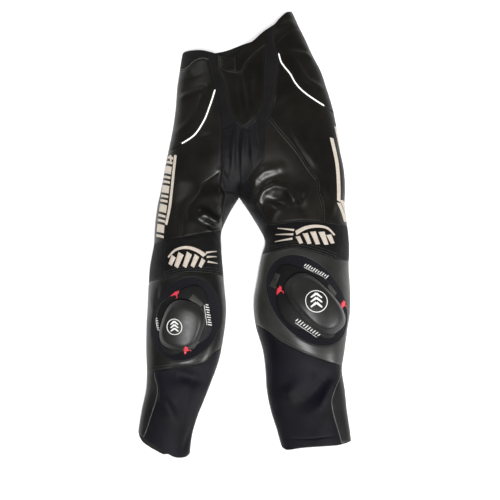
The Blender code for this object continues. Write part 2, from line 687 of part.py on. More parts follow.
def add_velcro(leg, middle, size, lean, angle):
    rim = 1 - HALF_GAP / min(size)
    sheets = []
    for rise in (DISC_THICK - LEATHER, -LEATHER):
        rows = []
        for share in DISC_RINGS:
            x, y = turned(middle, size, lean, angle, share * rim)
            rows.append(above_front(x, y, leg, np.full(x.shape, rise)))
        sheets.append(rows)
    add_object(leg + "_velcro_disc", *disc_mesh(*sheets), "velcro")


def add_slider(leg, middle, size, lean):
    base_seat = DISC_THICK - LEATHER + OVERLAY_CLEARANCE
    count = len(PLATE_RINGS)
    base_middle = [m + s * part for m, s, part in zip(middle, size, BASE_SHIFT)]
    base_size = [s * part for s, part in zip(size, BASE_SHARE)]
    base_top = base_seat + np.array([BASE_THICK] * (count - 1) + [BASE_EDGE])
    add_plate(leg + "_slider_base", leg, base_middle, base_size, lean,
              np.full(count, base_seat), base_top, BASE_POWER, LOBE)
    _, x, y, wide, long, puck_lean, height = next(row for row in PUCKS if row[0] == leg)
    seat = base_seat + BASE_THICK + OVERLAY_CLEARANCE
    puck_top = seat + np.array([height * share for share in PUCK_DOME] + [PUCK_EDGE])
    add_plate(leg + "_knee_puck", leg, (x, y), (wide, long), puck_lean,
              np.full(count, seat), puck_top, PUCK_POWER, 0.0)


def build_piping():
    """A strip over each hip seam, three points wide and raised along its middle."""
    for seam, (start, end) in PIPING_SPAN.items():
        leg, _, points = SEAMS[seam]
        line = plan_line(points, PIPING_CELLS, leg)[start:end + 1]
        q, y = line[:, 0], line[:, 1]
        middle = front(q, y)
        up = normals(front, q, y)
        side = np.cross(up, np.gradient(middle, axis=0))
        side = side / np.linalg.norm(side, axis=-1, keepdims=True) * PIPING_HALF
        grid = np.stack([middle + side, middle, middle - side], axis=1)
        low = grid + up[:, None] * OVERLAY_CLEARANCE
        high = low + up[:, None] * PIPING_THICK * np.array([1.0, 1.5, 1.0])[None, :, None]
        add_object(seam, *wall_mesh(high, low), "reflective")


def build_tab():
    sides = [smooth_line(TAB_LOW, 5), smooth_line((TAB_LOW[-1], TAB_TOP[-1]), 3),
             smooth_line(TAB_TOP, 5), smooth_line((TAB_LOW[0], TAB_TOP[0]), 3)]
    grid = patch(*sides)
    x, y = grid[..., 0], grid[..., 1]
    low = np.full(x.shape, OVERLAY_CLEARANCE)
    upper = above_front(x, y, "c", low + TAB_THICK)
    add_object("closure_tab", *wall_mesh(upper, above_front(x, y, "c", low)), "leather")


def main():
    clear_scene()
    build_front()
    build_back()
    build_knees()
    build_piping()
    build_tab()


main()
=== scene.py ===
"""Looks of leather motorcycle trousers that lie on their back, front up.

Plan tables are in millimetres: x across, y from the hems up to the waist, as the garment was drawn.
r_ is the wearer's right leg, which lies at low x. Made objects are in metres in the model's frame.
"""
import math

import bpy
import numpy as np
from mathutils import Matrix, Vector
from mathutils.bvhtree import BVHTree


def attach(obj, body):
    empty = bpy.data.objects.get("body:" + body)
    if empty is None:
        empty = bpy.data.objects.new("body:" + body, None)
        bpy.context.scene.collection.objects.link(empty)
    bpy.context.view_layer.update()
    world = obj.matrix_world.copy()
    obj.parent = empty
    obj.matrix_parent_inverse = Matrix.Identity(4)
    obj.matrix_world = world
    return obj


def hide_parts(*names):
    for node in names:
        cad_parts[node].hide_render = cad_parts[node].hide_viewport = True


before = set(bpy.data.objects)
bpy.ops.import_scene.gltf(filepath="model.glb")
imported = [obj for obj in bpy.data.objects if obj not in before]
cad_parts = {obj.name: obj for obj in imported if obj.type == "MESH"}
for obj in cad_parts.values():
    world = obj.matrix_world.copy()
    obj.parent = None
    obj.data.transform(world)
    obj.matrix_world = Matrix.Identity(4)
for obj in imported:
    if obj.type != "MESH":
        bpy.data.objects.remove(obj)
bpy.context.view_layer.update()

MM = 0.001

# Plan position of the middle of the garment's outline, moved to x = 0, y = 0
MIDDLE_X = 1.547
MIDDLE_Y = 36.915

# Height of the folded side edges, how fast the inner ones run out above the crotch and their least
# radius there, and where the two legs become one body
EDGE_Z = 11.0
CURL_POWER = 4
LEAST_CURL = 1e-6
CROTCH_Y = 104.0
MERGE_LENGTH = 120.0

# Wall thickness of each material
LEATHER = 1.6
THICK = {"leather": LEATHER, "stretch": 1.4}

# How fast a panel's rows straighten away from its curved ends
BEND = 3

# Gap under what lies on a panel
OVERLAY_CLEARANCE = 0.6

# Outer and inner outline of each leg: y, x
R_OUTER = ((-521, -252), (-488, -248), (-447, -244), (-398, -237), (-352, -228), (-306, -227),
           (-260, -229), (-202, -229), (-155, -227), (-107, -226), (-67, -224), (-14, -216),
           (30, -214), (73, -210), (122, -201), (172, -193), (222, -184), (272, -175),
           (323, -169), (374, -166), (425, -160), (472, -153), (508, -146), (555, -137))
R_INNER = ((-521, -127), (-492, -125), (-456, -121), (-416, -110), (-375, -94), (-329, -76),
           (-283, -60), (-237, -51), (-202, -46), (-162, -44), (-119, -48), (-72, -52),
           (-24, -56), (25, -55), (49, -45), (73, -33), (104, -14))
L_INNER = ((-521, 94), (-483, 85), (-443, 74), (-398, 60), (-352, 51), (-306, 48), (-260, 42),
           (-213, 28), (-171, 21), (-143, 21), (-95, 29), (-43, 38), (-2, 48), (25, 36),
           (49, 22), (73, 7), (104, -14))
L_OUTER = ((-510, 247), (-470, 244), (-443, 241), (-398, 235), (-352, 231), (-306, 225),
           (-265, 231), (-218, 238), (-166, 246), (-119, 247), (-67, 245), (-19, 247),
           (30, 244), (73, 238), (122, 240), (172, 238), (222, 229), (272, 223), (323, 214),
           (374, 200), (425, 184), (459, 167), (500, 150), (542, 131), (595, 109))

# Line between the halves above the crotch: y, x
CENTRE_LINE = ((104, -14), (200, -9), (300, -3), (400, -3), (480, -3), (560, 10))

# Height of the front above the folded side edges: y, rise
RISE = ((-521, 32), (-440, 36), (-350, 44), (-290, 54), (-235, 68), (-165, 84), (-110, 80),
        (-60, 71), (0, 66), (60, 62), (110, 60), (200, 64), (300, 64), (400, 56), (460, 48),
        (560, 40))

# Main folds of the front: half width, height, plan points
FOLDS = (
    (9, 9, ((-99, 54), (-78, 40), (-56, 32))),
    (7, -7, ((-94, 36), (-76, 24), (-58, 17))),
    (7, 6, ((-100, 42), (-80, 22), (-58, 8))),
    (7, 3, ((-56, 154), (-55, 105), (-56, 56))),
    (12, 8, ((23, 84), (19, 110), (24, 136), (44, 152), (82, 162))),
    (8, 7, ((32, 82), (44, 108), (68, 119), (98, 113), (120, 76))),
    (13, -8, ((52, 94), (96, 76))),
    (9, 4, ((80, 68), (58, 34))),
    (10, -4, ((121, 92), (139, 52))),
    (16, -7, ((-156, -313), (-94, -333))),
    (10, 4, ((-198, -334), (-186, -372), (-164, -408))),
    (15, -8, ((134, -378), (160, -352), (184, -324))),
    (9, 5, ((172, -390), (194, -344))),
    (14, 4, ((90, -372), (114, -346))),
    (5, 4, ((-22, 256), (-28, 200), (-32, 144))),
    (5, 4, ((-3, 246), (-8, 190), (-11, 134))),
    (5, 3, ((11, 244), (19, 164))),
    (7, 2, ((-4, 398), (8, 330), (15, 262))),
    (9, 2.4, ((31, 410), (26, 350), (21, 290))),
    (7, 2.8, ((-170, 342), (-130, 351), (-90, 364))),
    (9, 2.6, ((-102, 352), (-117, 308), (-131, 280), (-148, 266), (-170, 259))),
    (7, 2.8, ((94, 457), (140, 457), (182, 448))),
    (7, 2.6, ((121, 437), (136, 406), (151, 385), (170, 377), (198, 370))),
    (9, 4, ((62, 507), (92, 526), (124, 542))),
    (9, 1.6, ((-164, 448), (-126, 398))),
)

# Seams: half, cells, plan points from one end to the other
SEAMS = {
    "r_waist_arc": ("r", 5, ((-999, 422), (-138, 420), (-119, 435), (-103, 438), (-89, 433))),
    "r_strip_a": ("r", 1, ((-89, 433), (-82, 455))),
    "r_strip_b": ("r", 4, ((-71, 356), (-79, 393), (-89, 433))),
    "r_strip_c": ("r", 3, ((-56, 255), (-61, 302), (-71, 356))),
    "r_gusset_up": ("r", 3, ((-56, 156), (-57, 204), (-56, 255))),
    "r_gusset_low": ("r", 2, ((-52, 110), (-56, 156))),
    "r_fly_side": ("r", 6, ((-19, 274), (-33, 304), (-40, 334), (-48, 368), (-57, 392), (-65, 413))),
    "r_strip_end": ("r", 2, ((-56, 255), (-19, 274))),
    "r_fly_tip": ("r", 3, ((-19, 274), (-3, 259))),
    "l_fly_tip": ("l", 4, ((-3, 259), (23, 279))),
    "l_fly_side": ("l", 6, ((23, 279), (40, 307), (44, 368), (47, 437), (51, 472))),
    "r_piping": ("r", 5, ((-999, 210), (-150, 227), (-123, 242), (-99, 275), (-83, 316), (-71, 356))),
    "r_curve": ("r", 5, ((-142, -5), (-142, 24), (-137, 55), (-128, 77), (-108, 110), (-77, 141),
                         (-56, 156))),
    "r_above_a": ("r", 2, ((-999, -13), (-187, -11))),
    "r_above_b": ("r", 3, ((-187, -11), (-142, -5))),
    "r_above_c": ("r", 5, ((-142, -5), (-97, 6), (999, 25))),
    "r_below_a": ("r", 2, ((-999, -105), (-186, -102))),
    "r_below_b": ("r", 8, ((-186, -102), (-159, -94), (-129, -89), (-91, -89), (999, -88))),
    "r_inner_leg": ("r", 3, ((999, 25), (-54, 50), (-51, 77), (-52, 110))),
    "r_crotch": ("r", 3, ((-52, 110), (-33, 110), (-14, 110))),
    "l_crotch_a": ("l", 3, ((-14, 110), (7, 138))),
    "l_crotch_b": ("l", 3, ((7, 138), (26, 164), (42, 184))),
    "l_gusset_up": ("l", 5, ((42, 184), (33, 209), (26, 240), (23, 279))),
    "waistband_low": ("c", 7, ((-65, 413), (-45, 398), (-14, 396), (5, 425), (26, 449), (51, 472))),
    "l_strip_a": ("l", 2, ((72, 467), (70, 527))),
    "l_strip_b": ("l", 4, ((81, 452), (72, 467))),
    "l_strip_c": ("l", 6, ((55, 277), (71, 346), (77, 393), (81, 452))),
    "l_strip_d": ("l", 4, ((42, 184), (48, 228), (55, 277))),
    "l_waist_arc": ("l", 6, ((72, 467), (95, 496), (117, 516), (999, 534))),
    "l_piping": ("l", 6, ((81, 452), (87, 428), (110, 395), (122, 373), (141, 353), (165, 337),
                         (190, 324), (999, 311))),
    "l_curve": ("l", 11, ((177, 33), (175, 78), (167, 119), (139, 168), (109, 211), (83, 241),
                          (55, 277))),
    "l_above_a": ("l", 5, ((56, 31), (82, 31), (128, 35), (177, 33))),
    "l_above_b": ("l", 3, ((177, 33), (225, 32))),
    "l_above_c": ("l", 3, ((225, 32), (999, 34))),
    "l_below_a": ("l", 8, ((-999, -37), (77, -34), (113, -30), (161, -41), (211, -56))),
    "l_below_b": ("l", 2, ((211, -56), (999, -52))),
    "l_inner_leg": ("l", 4, ((56, 31), (33, 77), (17, 106), (7, 138))),
    "r_knee_a": ("r", 2, ((-999, -311), (-205, -310))),
    "r_knee_b": ("r", 8, ((-205, -310), (-169, -305), (-133, -300), (-88, -287), (-71, -269),
                         (999, -251))),
    "l_knee_a": ("l", 9, ((-999, -194), (55, -222), (82, -244), (114, -261), (146, -274),
                         (182, -286), (222, -297))),
    "l_knee_b": ("l", 1, ((222, -297), (999, -297))),
    "r_side": ("r", 7, ((-228, -460), (-223, -449), (-212, -416), (-199, -375), (-197, -344),
                       (-202, -328), (-205, -310))),
    "l_side": ("l", 7, ((218, -473), (211, -447), (200, -409), (196, -375), (208, -342),
                       (220, -312), (222, -297))),
}

# Panels of the front: material, then the bottom, right, top and left side.
# A side is a list of seam names, or of free lines given as cells and plan points.
# A plan x of LEG_EDGE or its negative, 999 or -999, stands for the leg's edge on that side.
LEG_EDGE = 999
PANELS = {
    "r_waist_side": ("stretch", ["r_waist_arc"], ["r_strip_a"],
                     [(5, ((-999, 466), (-134, 466), (-99, 461), (-82, 455)))],
                     [(1, ((-999, 422), (-999, 466)))]),
    "r_hip": ("leather", ["r_piping"], ["r_strip_b"], ["r_waist_arc"],
              [(4, ((-999, 210), (-999, 422)))]),
    "r_groin": ("stretch", ["r_strip_end"],
                ["r_fly_side", (2, ((-65, 413), (-65, 448)))],
                [(2, ((-82, 455), (-65, 448)))],
                ["r_strip_c", "r_strip_b", "r_strip_a"]),
    "waistband": ("leather", ["waistband_low"], [(2, ((51, 472), (63, 522)))],
                  [(7, ((-65, 448), (-53, 444), (-31, 438), (-10, 454), (5, 469), (20, 483),
                        (46, 509), (63, 522)))],
                  [(2, ((-65, 413), (-65, 448)))]),
    "fly": ("leather", ["r_fly_tip", "l_fly_tip"], ["l_fly_side"], ["waistband_low"],
            ["r_fly_side"]),
    "gusset": ("stretch", ["r_crotch", "l_crotch_a", "l_crotch_b"], ["l_gusset_up"],
               ["r_strip_end", "r_fly_tip", "l_fly_tip"], ["r_gusset_low", "r_gusset_up"]),
    "r_thigh_outer": ("leather", ["r_above_a", "r_above_b"],
                      ["r_curve", "r_gusset_up", "r_strip_c"], ["r_piping"],
                      [(11, ((-999, -13), (-999, 210)))]),
    "r_thigh_inner": ("leather", ["r_above_c"], ["r_inner_leg", "r_gusset_low"],
                      [(5, ((-56, 156), (-55.9, 156)))], ["r_curve"]),
    "r_inner_strip": ("stretch", [(3, ((999, 24), (999, 25)))], [(3, ((999, 24), (-14, 110)))],
                      ["r_crotch"], ["r_inner_leg"]),
    "r_above_knee": ("stretch", ["r_below_b"], [(8, ((999, -88), (999, 25)))],
                     ["r_above_b", "r_above_c"], [(8, ((-186, -102), (-187, -11)))]),
    "r_knee_side": ("stretch", ["r_below_a"], [(5, ((-186, -102), (-187, -11)))], ["r_above_a"],
                    [(5, ((-999, -105), (-999, -13)))]),
    "r_knee": ("leather", ["r_knee_a", "r_knee_b"], [(9, ((999, -251), (999, -88)))],
               ["r_below_a", "r_below_b"], [(9, ((-999, -311), (-999, -105)))]),
    "r_calf": ("stretch", [(8, ((-228, -460), (-209, -473), (-191, -484), (-172, -496),
                                (-157, -503), (-135, -503), (999, -493)))],
               [(7, ((999, -493), (999, -251)))], ["r_knee_b"], ["r_side"]),
    "r_calf_side": ("leather", [(2, ((-999, -447), (-228, -460)))], ["r_side"], ["r_knee_a"],
                    [(7, ((-999, -447), (-999, -311)))]),
    "l_groin": ("stretch", [(2, ((42, 184), (42.1, 184)))],
                ["l_strip_d", "l_strip_c", "l_strip_b", "l_strip_a"],
                [(2, ((63, 522), (70, 527)))],
                ["l_gusset_up", "l_fly_side", (5, ((51, 472), (63, 522)))]),
    "l_waist_side": ("leather", ["l_waist_arc"], [(2, ((999, 534), (999, 576)))],
                     [(6, ((70, 527), (85, 547), (98, 562), (999, 576)))], ["l_strip_a"]),
    "l_hip": ("leather", ["l_piping"], [(4, ((999, 311), (999, 534)))], ["l_waist_arc"],
              ["l_strip_b"]),
    "l_thigh_outer": ("leather", ["l_above_b", "l_above_c"], [(17, ((999, 34), (999, 311)))],
                      ["l_piping"], ["l_curve", "l_strip_c"]),
    "l_thigh_inner": ("leather", ["l_above_a"], ["l_curve"], [(5, ((54.9, 277), (55, 277)))],
                      ["l_inner_leg", "l_crotch_b", "l_strip_d"]),
    "l_inner_strip": ("stretch", [(3, ((-999, 4), (56, 31)))], ["l_inner_leg"], ["l_crotch_a"],
                      [(4, ((-999, 4), (-14, 110)))]),
    "l_above_knee": ("stretch", ["l_below_a"], [(8, ((211, -56), (225, 32)))],
                     ["l_above_a", "l_above_b"],
                     [(5, ((-999, -37), (-999, 4))), (3, ((-999, 4), (56, 31)))]),
    "l_knee_side": ("stretch", ["l_below_b"], [(5, ((999, -52), (999, 34)))],
                    [(2, ((225, 32), (999, 34)))], [(5, ((211, -56), (225, 32)))]),
    "l_knee": ("leather", ["l_knee_a", "l_knee_b"], [(10, ((999, -297), (999, -52)))],
               ["l_below_a", "l_below_b"], [(10, ((-999, -194), (-999, -37)))]),
    "l_calf": ("stretch", [(9, ((-999, -479), (94, -487), (125, -483), (170, -478), (218, -473)))],
               ["l_side"], ["l_knee_a"], [(7, ((-999, -479), (-999, -194)))]),
    "l_calf_side": ("leather", [(1, ((218, -473), (999, -466)))],
                    [(7, ((999, -466), (999, -297)))], ["l_knee_b"], ["l_side"]),
}

# Panels over both halves
HALF_OF = {"waistband": "c", "fly": "c", "gusset": "c"}

# Upper edge of the back in plan
WAIST_LINE = ((-999, 466), (-134, 467), (-99, 469), (-74, 472), (-44, 479), (-7, 494), (24, 506),
              (39, 518), (52, 526), (62, 535), (80, 552), (98, 566), (999, 578))

# Pieces of the back: points across, share of a seam's valley on the inner side, depth of the
# waistband and yoke, gap over the crotch, and the lines across the legs
BACK_COLUMNS = 97
INSIDE_SHARE = 0.4
BAND_DEPTH = 38
YOKE_DEPTH = 120
CROTCH_GAP = 2.5
BACK_LINES = {"r": (-92, -230), "l": (-45, -225)}

# Step in q off the middle line, which keeps a point on its own leg
MIDDLE_Q = 1e-6

# Lower edge of each calf's back: q, y
BACK_HEM = {
    "r": ((-2.0, -447), (-1.6, -470), (-1.0, -498), (0.0, -493)),
    "l": ((0.0, -479), (0.4, -486), (1.4, -478), (2.0, -466)),
}

# Knee discs: leg, middle x, y, half width, half length, lean of the long axis in degrees
KNEES = (
    ("r", -134, -194.5, 76, 97, -25),
    ("l", 143, -151, 78, 116, 37),
)
DISC_THICK = 2.2
KNEE_PANELS = ("r_knee", "l_knee")

# Knee panels: share of the disc at which they end, rings of points, and how much wider and longer
# than the made panel their flat cut is
RIM_SHARE = 0.995
RIM_ROWS = 20
KNEE_FULLNESS = (1.25, 1.05)

# Least share of its rectangle that a sheet's cut can have
LEAST_AREA = 0.31

# Spacing of a panel's points, and how much closer they stand near its border
STEP = 2.4
BACK_STEP = 4.0
CROWD = 0.45

# Fewest cells of a piece and of the back across, and points on a side, border and stitched line
# from which their lengths are measured
LEAST_CELLS = 6
LEAST_ACROSS = 8
ROUGH_POINTS = 17
BORDER_POINTS = 9
OFFSET_POINTS = 240

# Merge of the legs into one body: share of its length over which it starts at the middle and at
# the sides, how much sooner it starts at the sides, and its power
SOFT_START = (0.2, 0.75)
SOFT_LEAD = 52.0
MERGE_POWER = 0.9

# How folds and creases run out towards their ends, the share of their length at which they stop
# doing so, and how fast folds grow with the lift
FOLD_TAPER = 0.35
CREASE_TAPER = 1.2
CREASE_END = 0.05
FOLD_LIFT = 2.2

# Creases are full at SEAM_FADE from a seam, and keep the share SEAM_LEAST at the seam
SEAM_FADE = 6.0
SEAM_LEAST = 0.35

# Corners sharper than this many degrees stay sharp
SHARP_DEGREES = 50

# Least length by which a vector is divided, a distance beyond all others, and how many points
# are measured at once
TINY = 1e-12
FAR = 1e4
CHUNK = 2000

# About how many millimetres one unit of q is, and how often its span is halved to find it
Q_LENGTH = 90.0
HALVINGS = 30

# Seams: a valley along each, and the height to which a panel swells away from it
SEAM_DEPTH = 0.8
SEAM_WIDTH = 2.6
SWELL = {"leather": 0.6, "stretch": 0.4}
SWELL_WIDTH = 12.0
SIDE_FADE = 12.0
BORDER_STEP = 1.2

# Fine creases of the front: half width, height, plan points
CREASES = (
    (14, 5.0, ((34, 88), (52, 124), (88, 130), (124, 100))),
    (9, -2.4, ((58, 84), (84, 92), (106, 84))),
    (9, 2, ((112, 268), (140, 224), (172, 172), (178, 140))),
    (5, -1.6, ((104, 252), (125, 216), (146, 183), (168, 140))),
    (10, 2.5, ((172, 140), (180, 100), (186, 56))),
    (8, 3.0, ((154, 128), (144, 96), (124, 58))),
    (8, -2.0, ((132, 110), (128, 88), (112, 60))),
    (8, -1.6, ((80, 66), (70, 48), (60, 36))),
    (7, 2.0, ((113, 250), (138, 205), (176, 160))),
    (10, 1.8, ((62, 290), (70, 322), (98, 352))),
    (9, 1.5, ((92, 284), (106, 310), (124, 336))),
    (9, -1.2, ((78, 286), (92, 318), (112, 344))),
    (12, 3.4, ((-112, 70), (-92, 54), (-72, 50), (-58, 76), (-55, 112))),
    (11, -3.8, ((-102, 34), (-80, 20), (-54, 14))),
    (8, 3.4, ((-110, 56), (-93, 38), (-77, 30), (-65, 34), (-58, 56), (-55, 100))),
    (7, 2.4, ((-108, 28), (-82, 14), (-58, 6))),
    (5, 2.4, ((-56, 178), (-54, 123), (-54, 74))),
    (5, 2.6, ((-56, 204), (-45, 172), (-51, 154), (-43, 134), (-48, 108))),
    (4, -2, ((-52, 162), (-44, 154), (-34, 142))),
    (8, 1.2, ((-108, 236), (-84, 240), (-66, 236))),
    (7, 0.9, ((-156, 398), (-128, 392), (-96, 402))),
    (6, 1.2, ((-14, 396), (-13, 352), (-7, 310), (-3, 262))),
    (5, -1.0, ((-6, 390), (0, 326), (4, 270))),
    (6, 2.0, ((-28, 250), (-29, 204), (-24, 140))),
    (6, 2.2, ((-2, 250), (-4, 204), (0, 160))),
    (5, -2.0, ((-15, 256), (-16, 204), (-13, 124))),
    (6, 2.0, ((20, 250), (24, 214), (16, 178))),
    (5, -1.6, ((9, 256), (8, 204), (12, 170))),
    (16, -2, ((-196, -312), (-158, -328), (-112, -318))),
    (13, 2.2, ((-200, -332), (-184, -372), (-160, -424))),
    (14, -1.6, ((-160, -350), (-150, -400), (-150, -440))),
    (13, 1.4, ((-122, -340), (-132, -390), (-134, -440))),
    (6, -3.5, ((-118, -424), (-128, -458), (-142, -500))),
    (7, 2.5, ((-108, -412), (-114, -446), (-120, -478))),
    (12, -2, ((186, -338), (156, -376), (124, -410))),
    (11, 2.6, ((168, -352), (190, -388), (184, -440))),
    (18, 2.2, ((92, -296), (112, -336), (104, -392))),
    (12, -1.6, ((140, -300), (170, -322), (200, -338))),
    (16, -1.4, ((140, -400), (150, -440), (160, -480))),
    (4, 1.2, ((92, -350), (98, -362), (104, -376))),
    (2.5, -1.2, ((84, -462), (150, -462), (226, -452))),
    (6, 1.5, ((-212, -106), (-215, -148), (-206, -196))),
    (5, -1.4, ((-196, -112), (-200, -140), (-198, -170))),
    (6, 1.4, ((-164, -4), (-126, -12), (-84, -2))),
    (7, 1.8, ((212, 84), (204, 62), (196, 40))),
    (14, 1.4, ((-142, 190), (-116, 140), (-108, 100))),
    (15, 2.0, ((-146, 40), (-122, 30), (-100, 34))),
    (14, 1.4, ((60, 240), (92, 200), (120, 150))),
    (10, 1.5, ((120, 500), (150, 470), (168, 430))),
)

# Stitches: length, half thickness, pitch, points round, and rings: place, height, thickness
STITCH_LONG = 2.7
STITCH_HALF = 0.42
STITCH_PITCH = 3.6
STITCH_SIDES = 4
STITCH_RINGS = ((-1, -0.25, 0.3), (0, 0.16, 1.0), (1, -0.25, 0.3))

# Rows of stitches of each thread: seam, distances to its left on the cloth
STITCH_ROWS = {
    "bright": {"r_waist_arc": (2.6,), "r_side": (2.4,), "l_side": (-2.4,)},
    "light": {"r_fly_tip": (-2.4,), "l_fly_tip": (-2.4, -5.4), "l_curve": (-2.6, -8.2),
              "l_above_a": (-2.4,), "l_above_b": (-2.4,), "r_below_a": (2.4,),
              "r_below_b": (2.4, 8.0, 14.0), "l_below_a": (2.4, 8.0, 14.0), "l_below_b": (2.4,),
              "waistband_low": (2.6,), "r_knee_a": (2.6,), "r_knee_b": (2.6, 8.4),
              "l_knee_a": (2.6, 8.4), "l_knee_b": (2.6,)},
    "dark": {"r_waist_arc": (-2.6,), "r_strip_a": (2.4,), "r_strip_b": (2.4, -2.4),
             "r_strip_c": (2.4,), "r_fly_side": (2.6, -2.6), "r_fly_tip": (2.6,),
             "l_fly_tip": (2.6,), "l_fly_side": (2.6, -2.6), "r_piping": (5.4, -5.4),
             "l_piping": (5.4, -5.4), "r_curve": (2.6, 8.0), "l_curve": (2.6,),
             "r_above_a": (2.4,), "r_above_b": (2.4,), "r_above_c": (2.4,), "l_above_a": (2.6,),
             "l_above_c": (-2.4,), "r_below_b": (-2.6,), "l_below_a": (-2.6,),
             "r_inner_leg": (-2.4,), "l_inner_leg": (2.4, -2.4), "r_gusset_up": (2.4,),
             "r_gusset_low": (2.4,), "l_gusset_up": (-2.4,), "l_crotch_b": (2.4,),
             "waistband_low": (-2.6,), "l_strip_a": (2.4,), "l_strip_b": (2.4,),
             "l_strip_c": (2.4, -2.4), "l_strip_d": (-2.4,), "l_waist_arc": (2.6,)},
}

# Rings of points of a disc, slider base and puck: first share of the radius, last share, count
DISC_RINGS = ((0.0, 0.7, 14), (0.71, 1.0, 56))
BASE_RINGS = ((0.002, 0.94, 24), (0.955, 0.985, 3), (0.995, 1.0, 2))
PUCK_RINGS = ((0.002, 0.8, 22), (0.82, 1.0, 16))

# Pile discs: points round, rings of stitching as shares of the disc, their depth and half width,
# the height of the pile, the share at which it rounds off, and how far its lip turns down
DISC_AROUND = 168
DISC_GROOVES = (0.955, 0.905, 0.855, 0.805, 0.755)
GROOVE_DEPTH = 0.9
GROOVE_HALF = 0.011
PILE_RISE = 1.9
PILE_EDGE = 0.975
PILE_LIP = 0.6

# Slider bases: shift and size as shares of the disc, thickness at the middle and at the edge, the
# share at which the bevel starts, the outline's power and the depth of its lobes
BASE_SHIFT = (-0.04, -0.02)
BASE_SHARE = (0.74, 0.76)
BASE_THICK = 4.5
BASE_EDGE = 2.5
BASE_BEVEL = 0.94
BASE_POWER = 2.6
LOBE = 0.13

# Pucks: leg, middle x, y, half width, half length, lean of the long axis in degrees, height
PUCKS = (
    ("r", -141, -210, 42, 55, -18, 21),
    ("l", 157, -161, 40, 75, 42, 22),
)
PUCK_POWER = 2.7
PUCK_PROFILE = ((0.0, 1.0), (0.3, 0.998), (0.55, 0.99), (0.68, 0.97), (0.74, 0.94), (0.79, 0.88),
                (0.87, 0.71), (0.94, 0.55), (0.98, 0.43), (1.0, 0.33))
PLATE_AROUND = 144

# Piping: half width, height, how deep it sits and reaches, points across and along, and the cells
# and least share of its tapered ends; then the shares of its seam that it spans and shows bare
PIPING_HALF = 1.8
PIPING_HIGH = 2.0
PIPING_SUNK = 0.4
PIPING_UNDER = 0.6
PIPING_SIDES = 9
PIPING_CELLS = 220
PIPING_TAPER = 4
PIPING_TIP = 0.15
PIPING_SPAN = {"r_piping": (0.15, 1.0), "l_piping": (0.0, 0.95)}
PIPING_BARE = {"r_piping": (0.33, 1.0), "l_piping": (0.0, 0.73)}

# Closure flap: upper and lower edge, points along and across, its size over which it rounds off,
# and its height at the edge, away from it and underneath
TAB_TOP = ((-63.0, 441.0), (-51.0, 440.0), (-34.0, 433.0), (-19.0, 441.0))
TAB_LOW = ((-63.0, 415.0), (-46.0, 401.0), (-30.0, 399.5), (-17.0, 400.5))
TAB_COLUMNS = 29
TAB_ROWS = 13
TAB_WIDE = 44.8
TAB_DEEP = 36.0
TAB_ROUND = 2.5
TAB_EDGE = 1.4
TAB_SWELL = 1.4
TAB_UNDER = 0.6

# Cream blocks down the right thigh: path, lengths, gap, width, slant; then the bands of both
# thighs: half, width at the start and at the end, plan points
BLOCK_PATH = ((-179, 200), (-185, 153), (-188, 115), (-191, 77), (-195, 41), (-198, -3))
BLOCK_LENGTHS = (6, 6, 19, 6, 6, 19, 6, 6, 19, 6, 6, 19, 6)
BLOCK_GAP = 6.0
BLOCK_WIDE = 19.0
BLOCK_SLANT = 0.35
BAND_SLANT = 0.3
SIDE_BANDS = (
    ("r", 6.4, 6.4, ((-165, 200), (-169, 157), (-172, 112), (-175, 72), (-183, 27))),
    ("r", 5.0, 3.4, ((-178, 203), (-176, 186))),
    ("l", 8.7, 8.7, ((207, 244), (219, 182), (222, 120), (221, 88))),
    ("l", 9.0, 7.0, ((229, 92), (238, 70), (241, 46))),
    ("l", 9.0, 6.0, ((221, 84), (229, 66), (236, 40))),
    ("l", 4.0, 4.5, ((217, 276), (222, 252), (228, 226))),
)

# Embroidery over the knees: a fan of tapered bars under an arch, with three trailing lines
FAN_SLANT = 0.25
EMBROIDERY = (
    ("r", 9, 12, ((-171, -70), (-163, -50))),
    ("r", 10, 14, ((-157, -76), (-146, -44))),
    ("r", 10, 13, ((-138, -76), (-127, -43))),
    ("r", 9, 12, ((-120, -75), (-110, -48))),
    ("r", 8, 10, ((-103, -75), (-95, -56))),
    ("r", 4, 10, ((-176, -52), (-160, -36), (-134, -30), (-108, -37), (-92, -47))),
    ("r", 5, 1.5, ((-90, -40), (-66, -33))),
    ("r", 5, 1.5, ((-88, -50), (-66, -46))),
    ("r", 5, 1.5, ((-86, -61), (-64, -62))),
    ("l", 9, 12, ((203, -18), (194, 2))),
    ("l", 10, 14, ((188, -22), (177, 8))),
    ("l", 10, 13, ((168, -22), (157, 8))),
    ("l", 9, 12, ((149, -21), (139, 4))),
    ("l", 8, 10, ((130, -20), (122, -3))),
    ("l", 4, 10, ((208, 2), (192, 17), (164, 21), (136, 15), (118, 5))),
    ("l", 5, 1.5, ((114, 12), (76, 19))),
    ("l", 5, 1.5, ((112, 2), (72, 5))),
    ("l", 5, 1.5, ((110, -8), (70, -12))),
)

# Rows of short printed bars on the pile discs: half, bars, length of a bar, path
PRINTED_ROWS = (
    ("r", 9, 8.0, ((-88, -163), (-82, -206))),
    ("r", 6, 5.0, ((-197, -192), (-193, -218))),
    ("l", 11, 8.0, ((138, -72), (188, -98))),
    ("l", 10, 9.0, ((118, -197), (166, -230))),
)

# Printed bars: width, how often one is shorter and how much, lean, and the line's gap and width
PRINTED_WIDE = 2.0
BAR_EVERY = 3
BAR_SHORT = 0.7
BAR_LEAN = 0.3
BAR_GAP = 2.2
BAR_LINE = 1.0

# Ribbons: length of a cell, and its points across as shares of the half width
RIBBON_STEP = 2.2
RIBBON_ACROSS = np.array((-1.0, -0.86, -0.3, 0.3, 0.86, 1.0))

# How far above the front the finished cloth and the sliders on it are looked for
CLOTH_REACH = 18.0
SLIDER_REACH = 50.0

